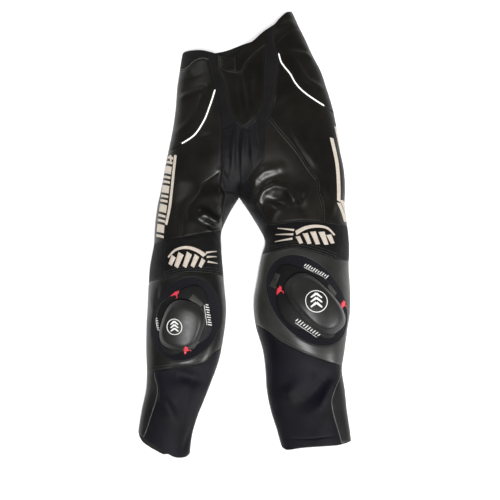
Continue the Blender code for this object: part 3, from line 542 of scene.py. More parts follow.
# Laid marks: height, reach, look; then the height at their edges as a share, and their depth
LAID = {
    "side_appliques": (0.9, CLOTH_REACH, "applique"),
    "knee_embroidery": (1.1, CLOTH_REACH, "embroidery"),
    "lobe_pads": (0.7, SLIDER_REACH, "lobe_pad"),
    "disc_print": (0.35, SLIDER_REACH, "print"),
    "red_pulls": (1.0, SLIDER_REACH, "red"),
    "puck_emblems": (0.3, SLIDER_REACH, "print"),
}
LAID_EDGE = 0.35
LAID_UNDER = 0.35

# Strokes of a pull: width at the start and at the end, points about its middle
PULL_STROKES = (
    (3.0, 9.5, ((-7, -7), (-3, -2), (2, 3))),
    (9.5, 2.5, ((2, 3), (5, 7), (4, 10))),
    (3.0, 1.2, ((4, -1), (8, -5), (7, -9))),
)

# Stitches up the closure flap: plan points from end to end
FLAP_STITCHES = (((-59, 412), (-59, 436)), ((-55.5, 410), (-55, 436)), ((-24, 402), (-24, 433)))

# Red pulls on the slider bases: half, middle, lean in degrees
PULLS = (("r", -157, -140, -20), ("r", -133, -263, 35), ("l", 80, -132, 15), ("l", 224, -161, 20))

# Ring emblems on the pucks: half, middle, radii
EMBLEMS = (("r", -153, -209, 13.5, 16.5), ("l", 156, -158, 20.5, 20.5))
RING_POINTS = 65
RING_WIDE = 1.5

# Chevrons in a ring as shares of its radii: levels, rise to the tip, reach and drop of the feet,
# and width at the feet and at the tip
EMBLEM_LEVELS = (-0.45, 0.0, 0.42)
CHEVRON_TIP = 0.3
CHEVRON_REACH = 0.52
CHEVRON_DROP = 0.1
CHEVRON_WIDTHS = (0.12, 0.24)

# Paler pads on the lobes of the slider bases
LOBE_PADS = (
    ("r", 15, 9, ((-122, -146), (-98, -164))),
    ("r", 12, 8, ((-122, -258), (-106, -244))),
    ("l", 16, 12, ((64, -122), (78, -92))),
    ("l", 10, 14, ((190, -118), (204, -140))),
)

# Panels of each slot
SLOT_PANELS = {
    "leather": ("r_hip", "l_hip", "r_thigh_outer", "l_thigh_outer", "r_thigh_inner",
                "l_thigh_inner", "fly", "waistband", "l_waist_side"),
    "knee_leather": KNEE_PANELS,
    "side_leather": ("r_calf_side", "l_calf_side"),
    "stretch": ("r_waist_side", "r_groin", "l_groin", "gusset", "r_inner_strip", "l_inner_strip",
                "r_knee_side", "l_knee_side"),
    "ribbed_stretch": ("r_above_knee", "l_above_knee"),
    "calf_stretch": ("r_calf", "l_calf"),
    "back_leather": ("back_waistband", "r_seat", "l_seat", "r_thigh_back", "l_thigh_back",
                     "r_calf_back", "l_calf_back"),
    "back_stretch": ("back_yoke", "r_knee_back", "l_knee_back"),
}
SLOTS = {name: slot for slot, names in SLOT_PANELS.items() for name in names}

# Panels whose look isn't that of their slot: the lighter inner left thigh is a painted
# highlight, and the darker right knee is painted shade
OWN_LOOKS = {"gusset": "inner_stretch", "r_inner_strip": "inner_stretch",
             "l_inner_strip": "inner_stretch", "r_knee": "dark_knee_leather",
             "l_thigh_inner": "painted_highlight_leather"}

# Studio: floor, world, and lights as name, place, size, power, shown in glossy surfaces or not
FLOOR_HALF = 40.0
FLOOR_LOW = -0.0004
FLOOR_DARK = (0.91, 0.91, 0.91)
FLOOR_LIGHT = (0.94, 0.94, 0.94)
WORLD_STRENGTH = 0.07
LIGHTS = (
    ("softbox_over", (0.7, -3.2, 6.1), (2.2, 2.2), 560, True),
    ("softbox_low", (5.0, -3.4, 2.6), (1.8, 1.8), 300, True),
    ("softbox_top", (-3.4, 4.4, 4.2), (2.2, 1.8), 38, True),
    ("fill_top", (-1.6, 5.2, 4.2), (3.0, 2.4), 450, False),
)

# Period of the wave texture at a scale of 1, and a texture's values from which and to which a
# tone or roughness changes
WAVE_PERIOD = 2 * math.pi / 20
RAMP = (0.3, 0.7)

# Camera of the photograph: off the plumb line towards the hems, with its lens in pixels
CAMERA_TARGET = (0.010453, -0.063915, 0.03)
CAMERA_DISTANCE = 2.2
CAMERA_TILT = math.radians(10)
PHOTO_WIDTH = 500
FOCAL_PX = 936
SENSOR = 36.0

# Finished surfaces of the front by name: points, faces
cloth = {}


def track(table, y):
    """Value of a two-column table at y, on a smooth curve through its rows."""
    rows = np.array(table, dtype=float)
    at, value = rows[:, 0], rows[:, 1]
    slope = np.gradient(value, at)
    y = np.clip(np.asarray(y, dtype=float), at[0], at[-1])
    i = np.clip(np.searchsorted(at, y, side="right") - 1, 0, len(at) - 2)
    span = at[i + 1] - at[i]
    t = (y - at[i]) / span
    rise = t * t * (3 - 2 * t)
    lead = t * (1 - t) ** 2
    trail = t * t * (t - 1)
    return (value[i] * (1 - rise) + value[i + 1] * rise
            + span * (lead * slope[i] + trail * slope[i + 1]))


def unit(ways):
    """The same vectors at length 1."""
    return ways / np.maximum(np.linalg.norm(ways, axis=-1, keepdims=True), TINY)


def spin(u, v, lean):
    """Plan vector turned by degrees."""
    c, s = math.cos(math.radians(lean)), math.sin(math.radians(lean))
    return u * c - v * s, u * s + v * c


def run_of(points):
    """Distance along a line of straight pieces at each of its points."""
    steps = np.linalg.norm(np.diff(points, axis=0), axis=1)
    return np.concatenate([[0], np.cumsum(steps)])


def length_of(points):
    """Length of a line of straight pieces."""
    return float(run_of(points)[-1])


def rings(spans):
    """Shares of a round piece's radius, from rows of first share, last share and count."""
    return np.concatenate([np.linspace(*span) for span in spans])


def merge(y, a=1.0):
    """0 on the legs, growing to 1 where both halves are one body, sooner away from a = 1."""
    away = (1 - np.asarray(a, dtype=float)) / 2
    lead = SOFT_LEAD * away
    u = np.clip((np.asarray(y, dtype=float) + lead - CROTCH_Y) / MERGE_LENGTH, 0.0, 1.0)
    start = np.clip(u / (SOFT_START[0] * (1 - away) + SOFT_START[1] * away), 0.0, 1.0)
    return np.sin(u * math.pi / 2) ** MERGE_POWER * start * start * (3 - 2 * start)


def edges_at(y):
    """Outer and inner x of the right and the left half, and y itself."""
    y = np.asarray(y, dtype=float)
    mid = track(CENTRE_LINE, y)
    legs = y < CROTCH_Y
    return (track(R_OUTER, y), np.where(legs, track(R_INNER, y), mid),
            track(L_OUTER, y), np.where(legs, track(L_INNER, y), mid), y)


def across_edges(q, edges):
    """x and lift between given edges; lift is 1 at the top of a leg and 0 at its edges."""
    r_outer, r_inner, l_outer, l_inner, y = edges
    outer, inner = np.where(q < 0, r_outer, l_outer), np.where(q < 0, r_inner, l_inner)
    a = 1 - np.abs(np.clip(q, -2, 2))
    m = merge(y, a)
    turn = (a - 1) * math.pi / 4
    across = (1 - m) * np.sin(a * math.pi / 2) + m * (1 + 2 * np.sin(turn))
    lift = (1 - m) * np.cos(a * math.pi / 2) + m * np.cos(turn)
    return (outer + inner) / 2 + (inner - outer) / 2 * across, lift


def section(q, y):
    """q runs from -2 at the right side edge over 0 at the middle to 2 at the left side edge."""
    return across_edges(np.asarray(q, dtype=float), edges_at(y))


def along_line(x, y, points):
    """Distance of plan points to a line of straight pieces, and how far along it they are."""
    p = np.array(points, dtype=float)
    starts = run_of(p)
    best = np.full(np.shape(x), FAR)
    share = np.zeros(np.shape(x))
    for k, length in enumerate(np.diff(starts)):
        dx, dy = (p[k + 1] - p[k]) / length
        t = np.clip((x - p[k, 0]) * dx + (y - p[k, 1]) * dy, 0, length)
        away = np.hypot(x - p[k, 0] - t * dx, y - p[k, 1] - t * dy)
        nearer = away < best
        best = np.where(nearer, away, best)
        share = np.where(nearer, (starts[k] + t) / starts[-1], share)
    return best, share


def creases(x, y, table, taper):
    """Height of the creases of a table, which run out towards their ends."""
    total = np.zeros(np.shape(x))
    for width, height, points in table:
        away, share = along_line(x, y, points)
        fade = np.sin(math.pi * np.clip(share, CREASE_END, 1 - CREASE_END)) ** taper
        total = total + height * fade * np.exp(-((away / width) ** 2))
    return total


def front(q, y):
    """Points of the solids' front, without the fine creases."""
    x, lift = section(q, y)
    z = EDGE_Z + track(RISE, y) * lift
    z = z + creases(x, y, FOLDS, FOLD_TAPER) * np.clip(FOLD_LIFT * lift, 0, 1) ** 2
    return np.stack([x, y, z], axis=-1)


def curl(distance, radius):
    """Height of a sheet that rolls up from the floor to a vertical edge."""
    d = np.clip(distance, 0, radius)
    return radius - np.sqrt(np.maximum(radius**2 - (radius - d) ** 2, 0))


def back(q, y):
    """Points of the back's outer surface, flat on the floor but for its rolled edges."""
    edges = edges_at(y)
    x, _ = across_edges(q, edges)
    outer, inner = np.where(q < 0, edges[0], edges[2]), np.where(q < 0, edges[1], edges[3])
    inner_radius = EDGE_Z * (1 - merge(y)) ** CURL_POWER + LEAST_CURL
    z = np.maximum(curl(np.abs(x - outer), EDGE_Z), curl(np.abs(x - inner), inner_radius))
    return np.stack([x, y, z], axis=-1)


def q_at(x, y, half):
    """q of plan points, found by halving; half is r, l or c for both."""
    x = np.asarray(x, dtype=float)
    y = np.asarray(y, dtype=float)
    low = np.full(x.shape, 0.0 if half == "l" else -2.0)
    high = np.full(x.shape, -1e-9 if half == "r" else 2.0)
    edges = edges_at(y)
    for _ in range(HALVINGS):
        mid = (low + high) / 2
        under = across_edges(mid, edges)[0] < x
        low = np.where(under, mid, low)
        high = np.where(under, high, mid)
    return (low + high) / 2


def normals(surface, q, y):
    """Unit normals of a surface, pointing up and out."""
    dq, dy = 1e-3, 0.05
    q0 = np.clip(q - dq, np.where(q > 0, MIDDLE_Q, -2), 2)
    q1 = np.clip(q + dq, -2, np.where(q < 0, -MIDDLE_Q, 2))
    across = surface(q1, y) - surface(q0, y)
    along = surface(q, y + dy) - surface(q, y - dy)
    return unit(np.cross(across, along))


def line_at(points, shares, half):
    """q and y at shares of the length of a smooth line through plan points."""
    p = np.array(points, dtype=float)
    knots = np.stack([q_at(p[:, 0], p[:, 1], half), p[:, 1]], axis=1)
    run = run_of(knots * np.array([Q_LENGTH, 1.0]))
    at = np.asarray(shares) * run[-1]
    if len(p) == 2:
        return np.stack([np.interp(at, run, knots[:, k]) for k in range(2)], axis=1)
    return np.stack([track(list(zip(run, knots[:, k])), at) for k in range(2)], axis=1)


def part_of(part, half):
    """Half, cells and plan points of one part of a side: a seam's name or a free line."""
    return SEAMS[part] if isinstance(part, str) else (half, *part)


def side_at(parts, shares, half):
    """q and y of a panel's side; each of its parts takes the room of its cells."""
    cells = [part_of(part, half)[1] for part in parts]
    ends = np.concatenate([[0], np.cumsum(cells)]) / sum(cells)
    made = np.zeros((len(shares), 2))
    for k, part in enumerate(parts):
        part_half, _, points = part_of(part, half)
        inside = (shares >= ends[k] - 1e-9) & (shares <= ends[k + 1] + 1e-9)
        local = np.clip((shares[inside] - ends[k]) / (ends[k + 1] - ends[k]), 0, 1)
        made[inside] = line_at(points, local, part_half)
    return made


def crowded(cells):
    """Shares from 0 to 1 that stand closer towards both ends."""
    t = np.linspace(0, 1, cells + 1)
    return t - CROWD * np.sin(2 * math.pi * t) / (2 * math.pi)


def cells_for(sides, half):
    """How many cells the longer of two sides needs."""
    rough = np.linspace(0, 1, ROUGH_POINTS)
    lengths = [length_of(front(*side_at(parts, rough, half).T)) for parts in sides]
    return max(LEAST_CELLS, int(round(max(lengths) / STEP)))


def panel_grid(name):
    """q and y of a panel's points: straight rows, bent towards its lower and upper side."""
    _, bottom, right, top, left = PANELS[name]
    half = HALF_OF.get(name, name[0])
    s = crowded(cells_for((bottom, top), half))
    t = crowded(cells_for((left, right), half))
    low, high = side_at(bottom, s, half), side_at(top, s, half)
    near, far = side_at(left, t, half), side_at(right, t, half)
    s, t = s[None, :, None], t[:, None, None]
    rows = (1 - s) * near[:, None] + s * far[:, None]
    low_bend = low[None] - (1 - s) * low[0] - s * low[-1]
    high_bend = high[None] - (1 - s) * high[0] - s * high[-1]
    return rows + (1 - t) ** BEND * low_bend + t**BEND * high_bend


def border_points(name, on_seam):
    """Points along the parts of a panel's border that are seams, or along its side edges."""
    half = HALF_OF.get(name, name[0])
    found = []
    for part in sum(PANELS[name][1:], []):
        part_half, _, points = part_of(part, half)
        at_edge = all(abs(x) == LEG_EDGE for x, _ in points)
        if at_edge == on_seam:
            continue
        ends = front(*line_at(points, np.linspace(0, 1, BORDER_POINTS), part_half).T)
        count = max(2, int(length_of(ends) / BORDER_STEP))
        found.append(front(*line_at(points, np.linspace(0, 1, count), part_half).T))
    return np.concatenate(found) if found else np.zeros((0, 3))


def nearest(points, targets):
    """Distance of each point to the nearest target."""
    if not len(targets):
        return np.full(points.shape[:-1], FAR)
    flat = points.reshape(-1, 3)
    out = np.empty(len(flat))
    for start in range(0, len(flat), CHUNK):
        part = flat[start:start + CHUNK]
        gaps = (part**2).sum(1)[:, None] + (targets**2).sum(1)[None] - 2 * part @ targets.T
        out[start:start + CHUNK] = np.sqrt(np.maximum(gaps.min(1), 0))
    return out.reshape(points.shape[:-1])


def relief(kind, to_seam, to_side):
    """Height of the cloth over its solid near seams, level at the side edges."""
    swell = SWELL[kind] * (1 - np.exp(-((to_seam / SWELL_WIDTH) ** 2)))
    valley = SEAM_DEPTH * np.exp(-((to_seam / SEAM_WIDTH) ** 2))
    return (swell - valley) * np.clip(to_side / SIDE_FADE, 0, 1)


def quads(rows, columns, closed=False):
    """Faces of a grid of points, with the last column joined to the first if it is closed."""
    across = columns if closed else columns - 1
    start = np.arange(rows - 1)[:, None] * columns
    k = np.arange(across)[None]
    n = (k + 1) % columns
    a, b = start + k, start + n
    return np.stack([a, b, b + columns, a + columns], axis=-1).reshape(-1, 4)


def rim_loop(rows, columns):
    """Numbers of a grid's border points, one after another round it."""
    top = [(rows - 1) * columns + i for i in range(columns - 2, -1, -1)]
    side = [j * columns + columns - 1 for j in range(1, rows)]
    return list(range(columns)) + side + top + [j * columns for j in range(rows - 2, 0, -1)]


def wall(upper, lower):
    """Points and faces of a cloth wall, and how many of the faces are on its upper side."""
    rows, columns = upper.shape[:2]
    count = rows * columns
    faces = quads(rows, columns)
    under = faces[:, ::-1] + count
    loop = np.array(rim_loop(rows, columns))
    follow = np.roll(loop, -1)
    rim = np.stack([follow, loop, loop + count, follow + count], axis=1)
    points = np.concatenate([upper.reshape(-1, 3), lower.reshape(-1, 3)])
    return points, np.concatenate([faces, rim, under]), len(faces) + len(rim)


def ring_wall(upper, lower):
    """The same for rows of points that close on themselves, with a rim along both borders."""
    rows, around = upper.shape[:2]
    count = rows * around
    faces = quads(rows, around, closed=True)
    k = np.arange(around)
    n = (k + 1) % around
    last = (rows - 1) * around
    outer = np.stack([n, k, k + count, n + count], axis=1)
    inner = np.stack([last + k, last + n, last + n + count, last + k + count], axis=1)
    points = np.concatenate([upper.reshape(-1, 3), lower.reshape(-1, 3)])
    under = faces[:, ::-1] + count
    return points, np.concatenate([faces, outer, inner, under]), len(faces) + 2 * around


def grid_uv(grid):
    """Lengths along the rows and columns of a grid, in metres, from its middle column."""
    across = np.linalg.norm(np.diff(grid, axis=1), axis=-1)
    u = np.concatenate([np.zeros((len(grid), 1)), np.cumsum(across, axis=1)], axis=1)
    u = u - u[:, grid.shape[1] // 2][:, None]
    return np.stack([u, grid[..., 1]], axis=-1) * MM


def twice(uv):
    """Texture places of a wall's upper and lower points."""
    return np.concatenate([uv.reshape(-1, 2)] * 2)


def remember(name, upper, ring=False):
    """Keep a finished surface, on which stitches and trims are laid."""
    cloth[name] = (upper.reshape(-1, 3), quads(*upper.shape[:2], closed=ring))


def add_object(name, data):
    """A new object in the scene with this mesh, light or camera."""
    made = bpy.data.objects.new(name, data)
    bpy.context.scene.collection.objects.link(made)
    return made


def make(name, points, faces, materials, uv=None, slots=None):
    """One mesh object from points in plan millimetres."""
    moved = (np.asarray(points) - np.array([MIDDLE_X, MIDDLE_Y, 0.0])) * MM
    mesh = bpy.data.meshes.new(name)
    mesh.from_pydata(moved.tolist(), [], np.asarray(faces).tolist())
    for one in materials:
        mesh.materials.append(one)
    if slots is not None:
        mesh.polygons.foreach_set("material_index", np.asarray(slots, dtype=np.int32))
    if uv is not None:
        layer = mesh.uv_layers.new(name="weave")
        corners = np.empty(len(mesh.loops), dtype=np.int32)
        mesh.loops.foreach_get("vertex_index", corners)
        layer.data.foreach_set("uv", uv[corners].ravel())
    mesh.shade_smooth()
    mesh.set_sharp_from_angle(angle=math.radians(SHARP_DEGREES))
    mesh.update()
    return add_object(name, mesh)


def settle(piece, node=None):
    """Say what a piece rides on, which solid it replaces."""
    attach(piece, "root")
    if node:
        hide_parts(node)
    return piece


def state_sheet(width, length, area):
    """Clamp a sheet's area to what its rectangle in metres allows; nothing keeps the result."""
    area = min(max(area, LEAST_AREA * width * length), width * length)


def declare_sheet(grid):
    """Measure the flat cut of a panel along its own rows and columns."""
    cells = np.cross(grid[1:, 1:] - grid[:-1, :-1], grid[:-1, 1:] - grid[1:, :-1])
    area = np.linalg.norm(cells, axis=-1).sum() / 2 * MM**2
    width = max(length_of(row) for row in grid) * MM
    length = max(length_of(grid[:, k]) for k in range(grid.shape[1])) * MM
    state_sheet(width, length, area)


def declare_ring(grid):
    """Measure the flat cut of a knee panel, which lies round its disc."""
    cells = np.cross(grid[1:] - grid[:-1], np.roll(grid, -1, axis=1)[:-1] - grid[:-1])
    area = np.linalg.norm(cells, axis=-1).sum() * MM**2
    width, length = (np.ptp(grid[..., k]) * MM * KNEE_FULLNESS[k] for k in range(2))
    state_sheet(width, length, area)


def build_panels(looks):
    for name in PANELS:
        if name not in KNEE_PANELS:
            piece, upper = add_panel(name, panel_grid(name), looks)
            declare_sheet(upper)


def add_panel(name, grid, looks, ring=False):
    """A cloth wall over a grid of q and y, with seam valleys, swell and fine creases."""
    q, y = grid[..., 0], grid[..., 1]
    base, up = front(q, y), normals(front, q, y)
    kind, seams = PANELS[name][0], border_points(name, True)
    if ring:
        seams = np.concatenate([seams, base[-1]])
    to_seam, to_side = nearest(base, seams), nearest(base, border_points(name, False))
    fade = np.clip(to_side / SIDE_FADE, 0, 1)
    if not ring:
        fade = fade * np.clip(to_seam / SEAM_FADE, SEAM_LEAST, 1)
    rise = relief(kind, to_seam, to_side)
    rise = rise + creases(base[..., 0], base[..., 1], CREASES, CREASE_TAPER) * fade
    upper = base + up * rise[..., None]
    lower = base + up * (np.minimum(rise, 0) - THICK[kind])[..., None]
    points, faces, outer = (ring_wall if ring else wall)(upper, lower)
    uv = twice(upper[..., :2] * MM if ring else grid_uv(upper))
    look = looks[OWN_LOOKS.get(name, SLOTS[name])]
    inside = np.arange(len(faces)) >= outer
    piece = make(name + "_cloth", points, faces, [look, looks["lining"]], uv, inside)
    settle(piece, name)
    remember(name, upper, ring)
    return piece, upper


def knee_loop(leg):
    """Border of the knee panel as one loop of q and y, with the angle of each point."""
    _, bottom, right, top, left = PANELS[leg + "_knee"]
    across = np.linspace(0, 1, cells_for((bottom, top), leg) + 1)
    along = np.linspace(0, 1, cells_for((left, right), leg) + 1)
    low, high = side_at(bottom, across, leg), side_at(top, across, leg)
    near, far = side_at(left, along, leg), side_at(right, along, leg)
    loop = np.concatenate([low[:-1], far[:-1], high[::-1][:-1], near[::-1][:-1]])
    _, x, y, wide, long, lean = next(row for row in KNEES if row[0] == leg)
    u, v = spin(section(loop[:, 0], loop[:, 1])[0] - x, loop[:, 1] - y, -lean)
    return loop, np.arctan2(v / long, u / wide)


def turned(middle, size, lean, angle, share):
    """Plan points of an ellipse of half width and half length, turned by its lean."""
    u, v = spin(share * size[0] * np.cos(angle), share * size[1] * np.sin(angle), lean)
    return middle[0] + u, middle[1] + v


def above_front(x, y, half, rise):
    """Points over plan points, moved out along the front's normals."""
    q = q_at(x, y, half)
    return front(q, y) + normals(front, q, y) * np.asarray(rise)[..., None]


def build_knees(looks):
    for leg, x, y, wide, long, lean in KNEES:
        oval = ((x, y), (wide, long), lean)
        loop, angle = knee_loop(leg)
        rim_x, rim_y = turned(*oval, angle, RIM_SHARE)
        rim = np.stack([q_at(rim_x, rim_y, leg), rim_y], axis=1)
        t = crowded(RIM_ROWS)[:, None, None]
        piece, upper = add_panel(leg + "_knee", loop[None] * (1 - t) + rim[None] * t, looks, True)
        declare_ring(upper)
        add_disc(leg, oval, looks)
        add_slider(leg, oval, looks)


def disc_profile(share):
    """Height of the pile disc over the knee at a share of its radius."""
    grooves = sum(np.exp(-(((share - at) / GROOVE_HALF) ** 2)) for at in DISC_GROOVES)
    edge = np.clip((share - PILE_EDGE) / (1 - PILE_EDGE), 0, 1)
    dome = PILE_RISE * np.sqrt(np.maximum(1 - edge**2, 0))
    return dome - GROOVE_DEPTH * grooves - PILE_LIP * edge**6


def add_disc(leg, oval, looks):
    """Pile disc that covers the panel's opening over the knee."""
    angle = np.linspace(0, 2 * math.pi, DISC_AROUND, endpoint=False)[None]
    share = rings(DISC_RINGS)[:, None]
    x, y = turned(*oval, angle, share)
    upper = above_front(x, y, leg, np.broadcast_to(disc_profile(share), x.shape))[::-1]
    lower = above_front(x, y, leg, np.full(x.shape, -LEATHER))[::-1]
    points, faces, _ = ring_wall(upper, lower)
    piece = make(leg + "_pile_disc", points, faces, [looks["velcro"]], twice(upper[..., :2] * MM))
    settle(piece, leg + "_velcro_disc")
    remember(leg + "_disc", upper, True)


def rounded_reach(angle, power, lobe):
    """Radius of a rounded square with four lobes, 1 on its axes."""
    reach = (np.abs(np.cos(angle))**power + np.abs(np.sin(angle))**power) ** (-1 / power)
    return reach * (1 + lobe * np.cos(4 * angle))


def plate(name, leg, oval, shares, low, high, power, lobe, look):
    """Moulded plate over the knee, from rings at shares of its outline."""
    angle = np.linspace(0, 2 * math.pi, PLATE_AROUND, endpoint=False)[None]
    x, y = turned(*oval, angle, shares[:, None] * rounded_reach(angle, power, lobe))
    upper = above_front(x, y, leg, np.broadcast_to(high[:, None], x.shape))[::-1]
    lower = above_front(x, y, leg, np.full(x.shape, low))[::-1]
    points, faces, _ = ring_wall(upper, lower)
    remember(name, upper, True)
    return make(name, points, faces, [look])


def add_slider(leg, oval, looks):
    """Lobed base on the pile disc, and the puck on it."""
    middle, size, lean = oval
    seat = DISC_THICK - LEATHER + OVERLAY_CLEARANCE
    base_middle = [m + s * part for m, s, part in zip(middle, size, BASE_SHIFT)]
    base_size = [s * part for s, part in zip(size, BASE_SHARE)]
    shares = rings(BASE_RINGS)
    bevel = np.clip((shares - BASE_BEVEL) / (1 - BASE_BEVEL), 0, 1) ** 2
    base = plate(leg + "_slider_flange", leg, (base_middle, base_size, lean), shares, seat,
                 seat + BASE_THICK - (BASE_THICK - BASE_EDGE) * bevel, BASE_POWER, LOBE,
                 looks["slider_base"])
    settle(base, leg + "_slider_base")
    _, x, y, wide, long, puck_lean, height = next(row for row in PUCKS if row[0] == leg)
    seat = seat + BASE_THICK + OVERLAY_CLEARANCE
    shares = rings(PUCK_RINGS)
    puck = plate(leg + "_puck", leg, ((x, y), (wide, long), puck_lean), shares, seat,
                 seat + height * track(PUCK_PROFILE, shares), PUCK_POWER, 0.0, looks["knee_puck"])
    settle(puck, leg + "_knee_puck")


def back_grid(q, low_y, high_y):
    """q and y of a piece of the back between two lines given at each q."""
    width = length_of(back(q, (low_y + high_y) / 2))
    fine = np.linspace(q[0], q[-1], max(LEAST_ACROSS, int(width / BACK_STEP)) + 1)
    low, high = np.interp(fine, q, low_y), np.interp(fine, q, high_y)
    t = crowded(max(LEAST_CELLS, int(np.abs(high - low).max() / BACK_STEP)))[:, None]
    y = (1 - t) * low[None] + t * high[None]
    return np.stack([np.broadcast_to(fine, y.shape), y], axis=-1)


def add_back(name, kind, q, low_y, high_y, looks):
    """A plain cloth wall of the back, its outer side on the floor."""
    grid = back_grid(q, low_y, high_y)
    across, y = grid[..., 0], grid[..., 1]
    outer, up = back(across, y), normals(back, across, y)
    to_border = nearest(outer, np.concatenate([outer[0], outer[-1]]))
    to_edge = nearest(outer, np.concatenate([outer[:, 0], outer[:, -1]]))
    valley = SEAM_DEPTH * np.exp(-((to_border / SEAM_WIDTH) ** 2))
    rise = (valley * np.clip(to_edge / SIDE_FADE, 0, 1))[..., None]
    upper = outer + up * (THICK[kind] + INSIDE_SHARE * rise)
    points, faces, inner = wall(upper, outer + up * rise)
    on_inner = np.arange(len(faces)) < inner
    piece = make(name + "_cloth", points, faces, [looks[SLOTS[name]], looks["lining"]],
                 twice(grid_uv(upper)), on_inner)
    settle(piece, name)
    declare_sheet(outer)


def kept_on(q, leg):
    """Keep the middle line on the half that a piece belongs to."""
    return np.minimum(q, -MIDDLE_Q) if leg == "r" else np.maximum(q, MIDDLE_Q)


def build_back(looks):
    waist = line_at(WAIST_LINE, np.linspace(0, 1, BACK_COLUMNS), "c")
    q = np.linspace(-2, 2, BACK_COLUMNS)
    middle = BACK_COLUMNS // 2
    waist_y = np.interp(q, waist[:, 0], waist[:, 1])
    band_y, yoke_y = waist_y - BAND_DEPTH, waist_y - YOKE_DEPTH
    add_back("back_waistband", "leather", q, band_y, waist_y, looks)
    add_back("back_yoke", "stretch", q, yoke_y, band_y, looks)
    for leg, part in (("r", slice(0, middle + 1)), ("l", slice(middle, None))):
        across = kept_on(q[part], leg)
        crotch_y, knee_y, calf_y = (np.full(len(across), float(line))
                                    for line in (CROTCH_Y + CROTCH_GAP, *BACK_LINES[leg]))
        hem = np.array(BACK_HEM[leg], dtype=float)
        hem_y = np.interp(across, hem[:, 0], hem[:, 1])
        add_back(leg + "_seat", "leather", across, crotch_y, yoke_y[part], looks)
        add_back(leg + "_thigh_back", "leather", across, knee_y, crotch_y, looks)
        add_back(leg + "_knee_back", "stretch", across, calf_y, knee_y, looks)
        add_back(leg + "_calf_back", "leather", across, hem_y, calf_y, looks)


class Seat:
    """The finished front, on which stitches and trims are laid."""

    def __init__(self):
        points, faces, count = [], [], 0
        for some, their in cloth.values():
            points.append(some)
            faces.append(their + count)
            count += len(some)
        self.tree = BVHTree.FromPolygons(np.concatenate(points).tolist(),
                                         np.concatenate(faces).tolist())

    def under(self, q, y, reach=CLOTH_REACH):
        """Points and normals of the cloth under the front's points."""
        base, up = front(q, y), normals(front, q, y)
        flat, ways = base.reshape(-1, 3), up.reshape(-1, 3)
        spots, leans = flat.copy(), ways.copy()
        for k, (point, way) in enumerate(zip(flat, ways)):
            start = Vector(point + way * reach)
            place, lean, _, _ = self.tree.ray_cast(start, Vector(-way), 2 * reach)
            if place is not None:
                spots[k] = place
                leans[k] = lean if lean.dot(Vector(way)) > 0 else -lean
        return spots.reshape(base.shape), leans.reshape(base.shape)


def beside_line(points, half, shares):
    """Points of the front along a line, their normals and the ways to its left."""
    q, y = line_at(points, shares, half).T
    base, up = front(q, y), normals(front, q, y)
    return base, up, unit(np.cross(up, np.gradient(base, axis=0)))


def offset_line(points, half, away):
    """q and y of stitches along a line that runs beside another on the cloth."""
    base, _, side = beside_line(points, half, np.linspace(0, 1, OFFSET_POINTS))
    beside = base + side * away
    run = run_of(beside)
    at = np.arange(STITCH_PITCH / 2, run[-1], STITCH_PITCH)
    x, y = (np.interp(at, run, beside[:, k]) for k in range(2))
    return q_at(x, y, half), y


def stitch_form():
    """Points of one stitch about its middle: along, across and up."""
    turn = np.linspace(0, 2 * math.pi, STITCH_SIDES, endpoint=False) + math.pi / 4
    return np.array([(x * STITCH_LONG / 2, STITCH_HALF * r * math.cos(a),
                      z + STITCH_HALF * r * math.sin(a)) for x, z, r in STITCH_RINGS for a in turn])


def stitches(name, rows, look, seat):
    """Thread along rows of q and y as one joined mesh."""
    local = stitch_form()
    faces = quads(len(STITCH_RINGS), STITCH_SIDES, closed=True)
    points, all_faces, count = [], [], 0
    for q, y in rows:
        if len(q) < 2:
            continue
        spot, up = seat.under(q, y)
        way = unit(np.gradient(spot, axis=0))
        across = unit(np.cross(up, way))
        axes = np.stack([way, across, np.cross(way, across)], axis=1)
        made = spot[:, None] + np.einsum("kj,nji->nki", local, axes)
        points.append(made.reshape(-1, 3))
        offsets = count + np.arange(len(spot))[:, None, None] * len(local)
        all_faces.append((faces[None] + offsets).reshape(-1, 4))
        count += len(spot) * len(local)
    return settle(make(name, np.concatenate(points), np.concatenate(all_faces), [look]))


def build_stitches(looks, seat):
    for tone, seams in STITCH_ROWS.items():
        rows = [offset_line(SEAMS[seam][2], SEAMS[seam][0], away)
                for seam, every_away in seams.items() for away in every_away]
        if tone == "light":
            rows += [offset_line(points, "c", 0.0) for points in FLAP_STITCHES]
        stitches("stitching_" + tone, rows, looks["thread_" + tone], seat)


def build_piping(looks):
    """A half-round strip along each hip seam, reflective where it is bare."""
    turn = np.linspace(0, math.pi, PIPING_SIDES)[None, :, None]
    steps = np.arange(PIPING_CELLS)
    taper = np.clip(np.minimum(steps, steps[::-1]) / PIPING_TAPER, PIPING_TIP, 1)[:, None, None]
    for seam, (start, end) in PIPING_SPAN.items():
        half, _, points = SEAMS[seam]
        shares = np.linspace(start, end, PIPING_CELLS)
        base, up, side = beside_line(points, half, shares)
        flank = base[:, None] + side[:, None] * PIPING_HALF * taper * np.cos(turn)
        upper = flank + up[:, None] * (PIPING_HIGH * taper * np.sin(turn) - PIPING_SUNK)
        made, faces, _ = wall(upper, flank - up[:, None] * PIPING_UNDER)
        at = shares[np.min(faces % upper[..., 0].size, axis=1) // PIPING_SIDES]
        covered = (at < PIPING_BARE[seam][0]) | (at > PIPING_BARE[seam][1])
        piece = make(seam + "_strip", made, faces, [looks["reflective"], looks["leather"]],
                     slots=covered)
        settle(piece, seam)


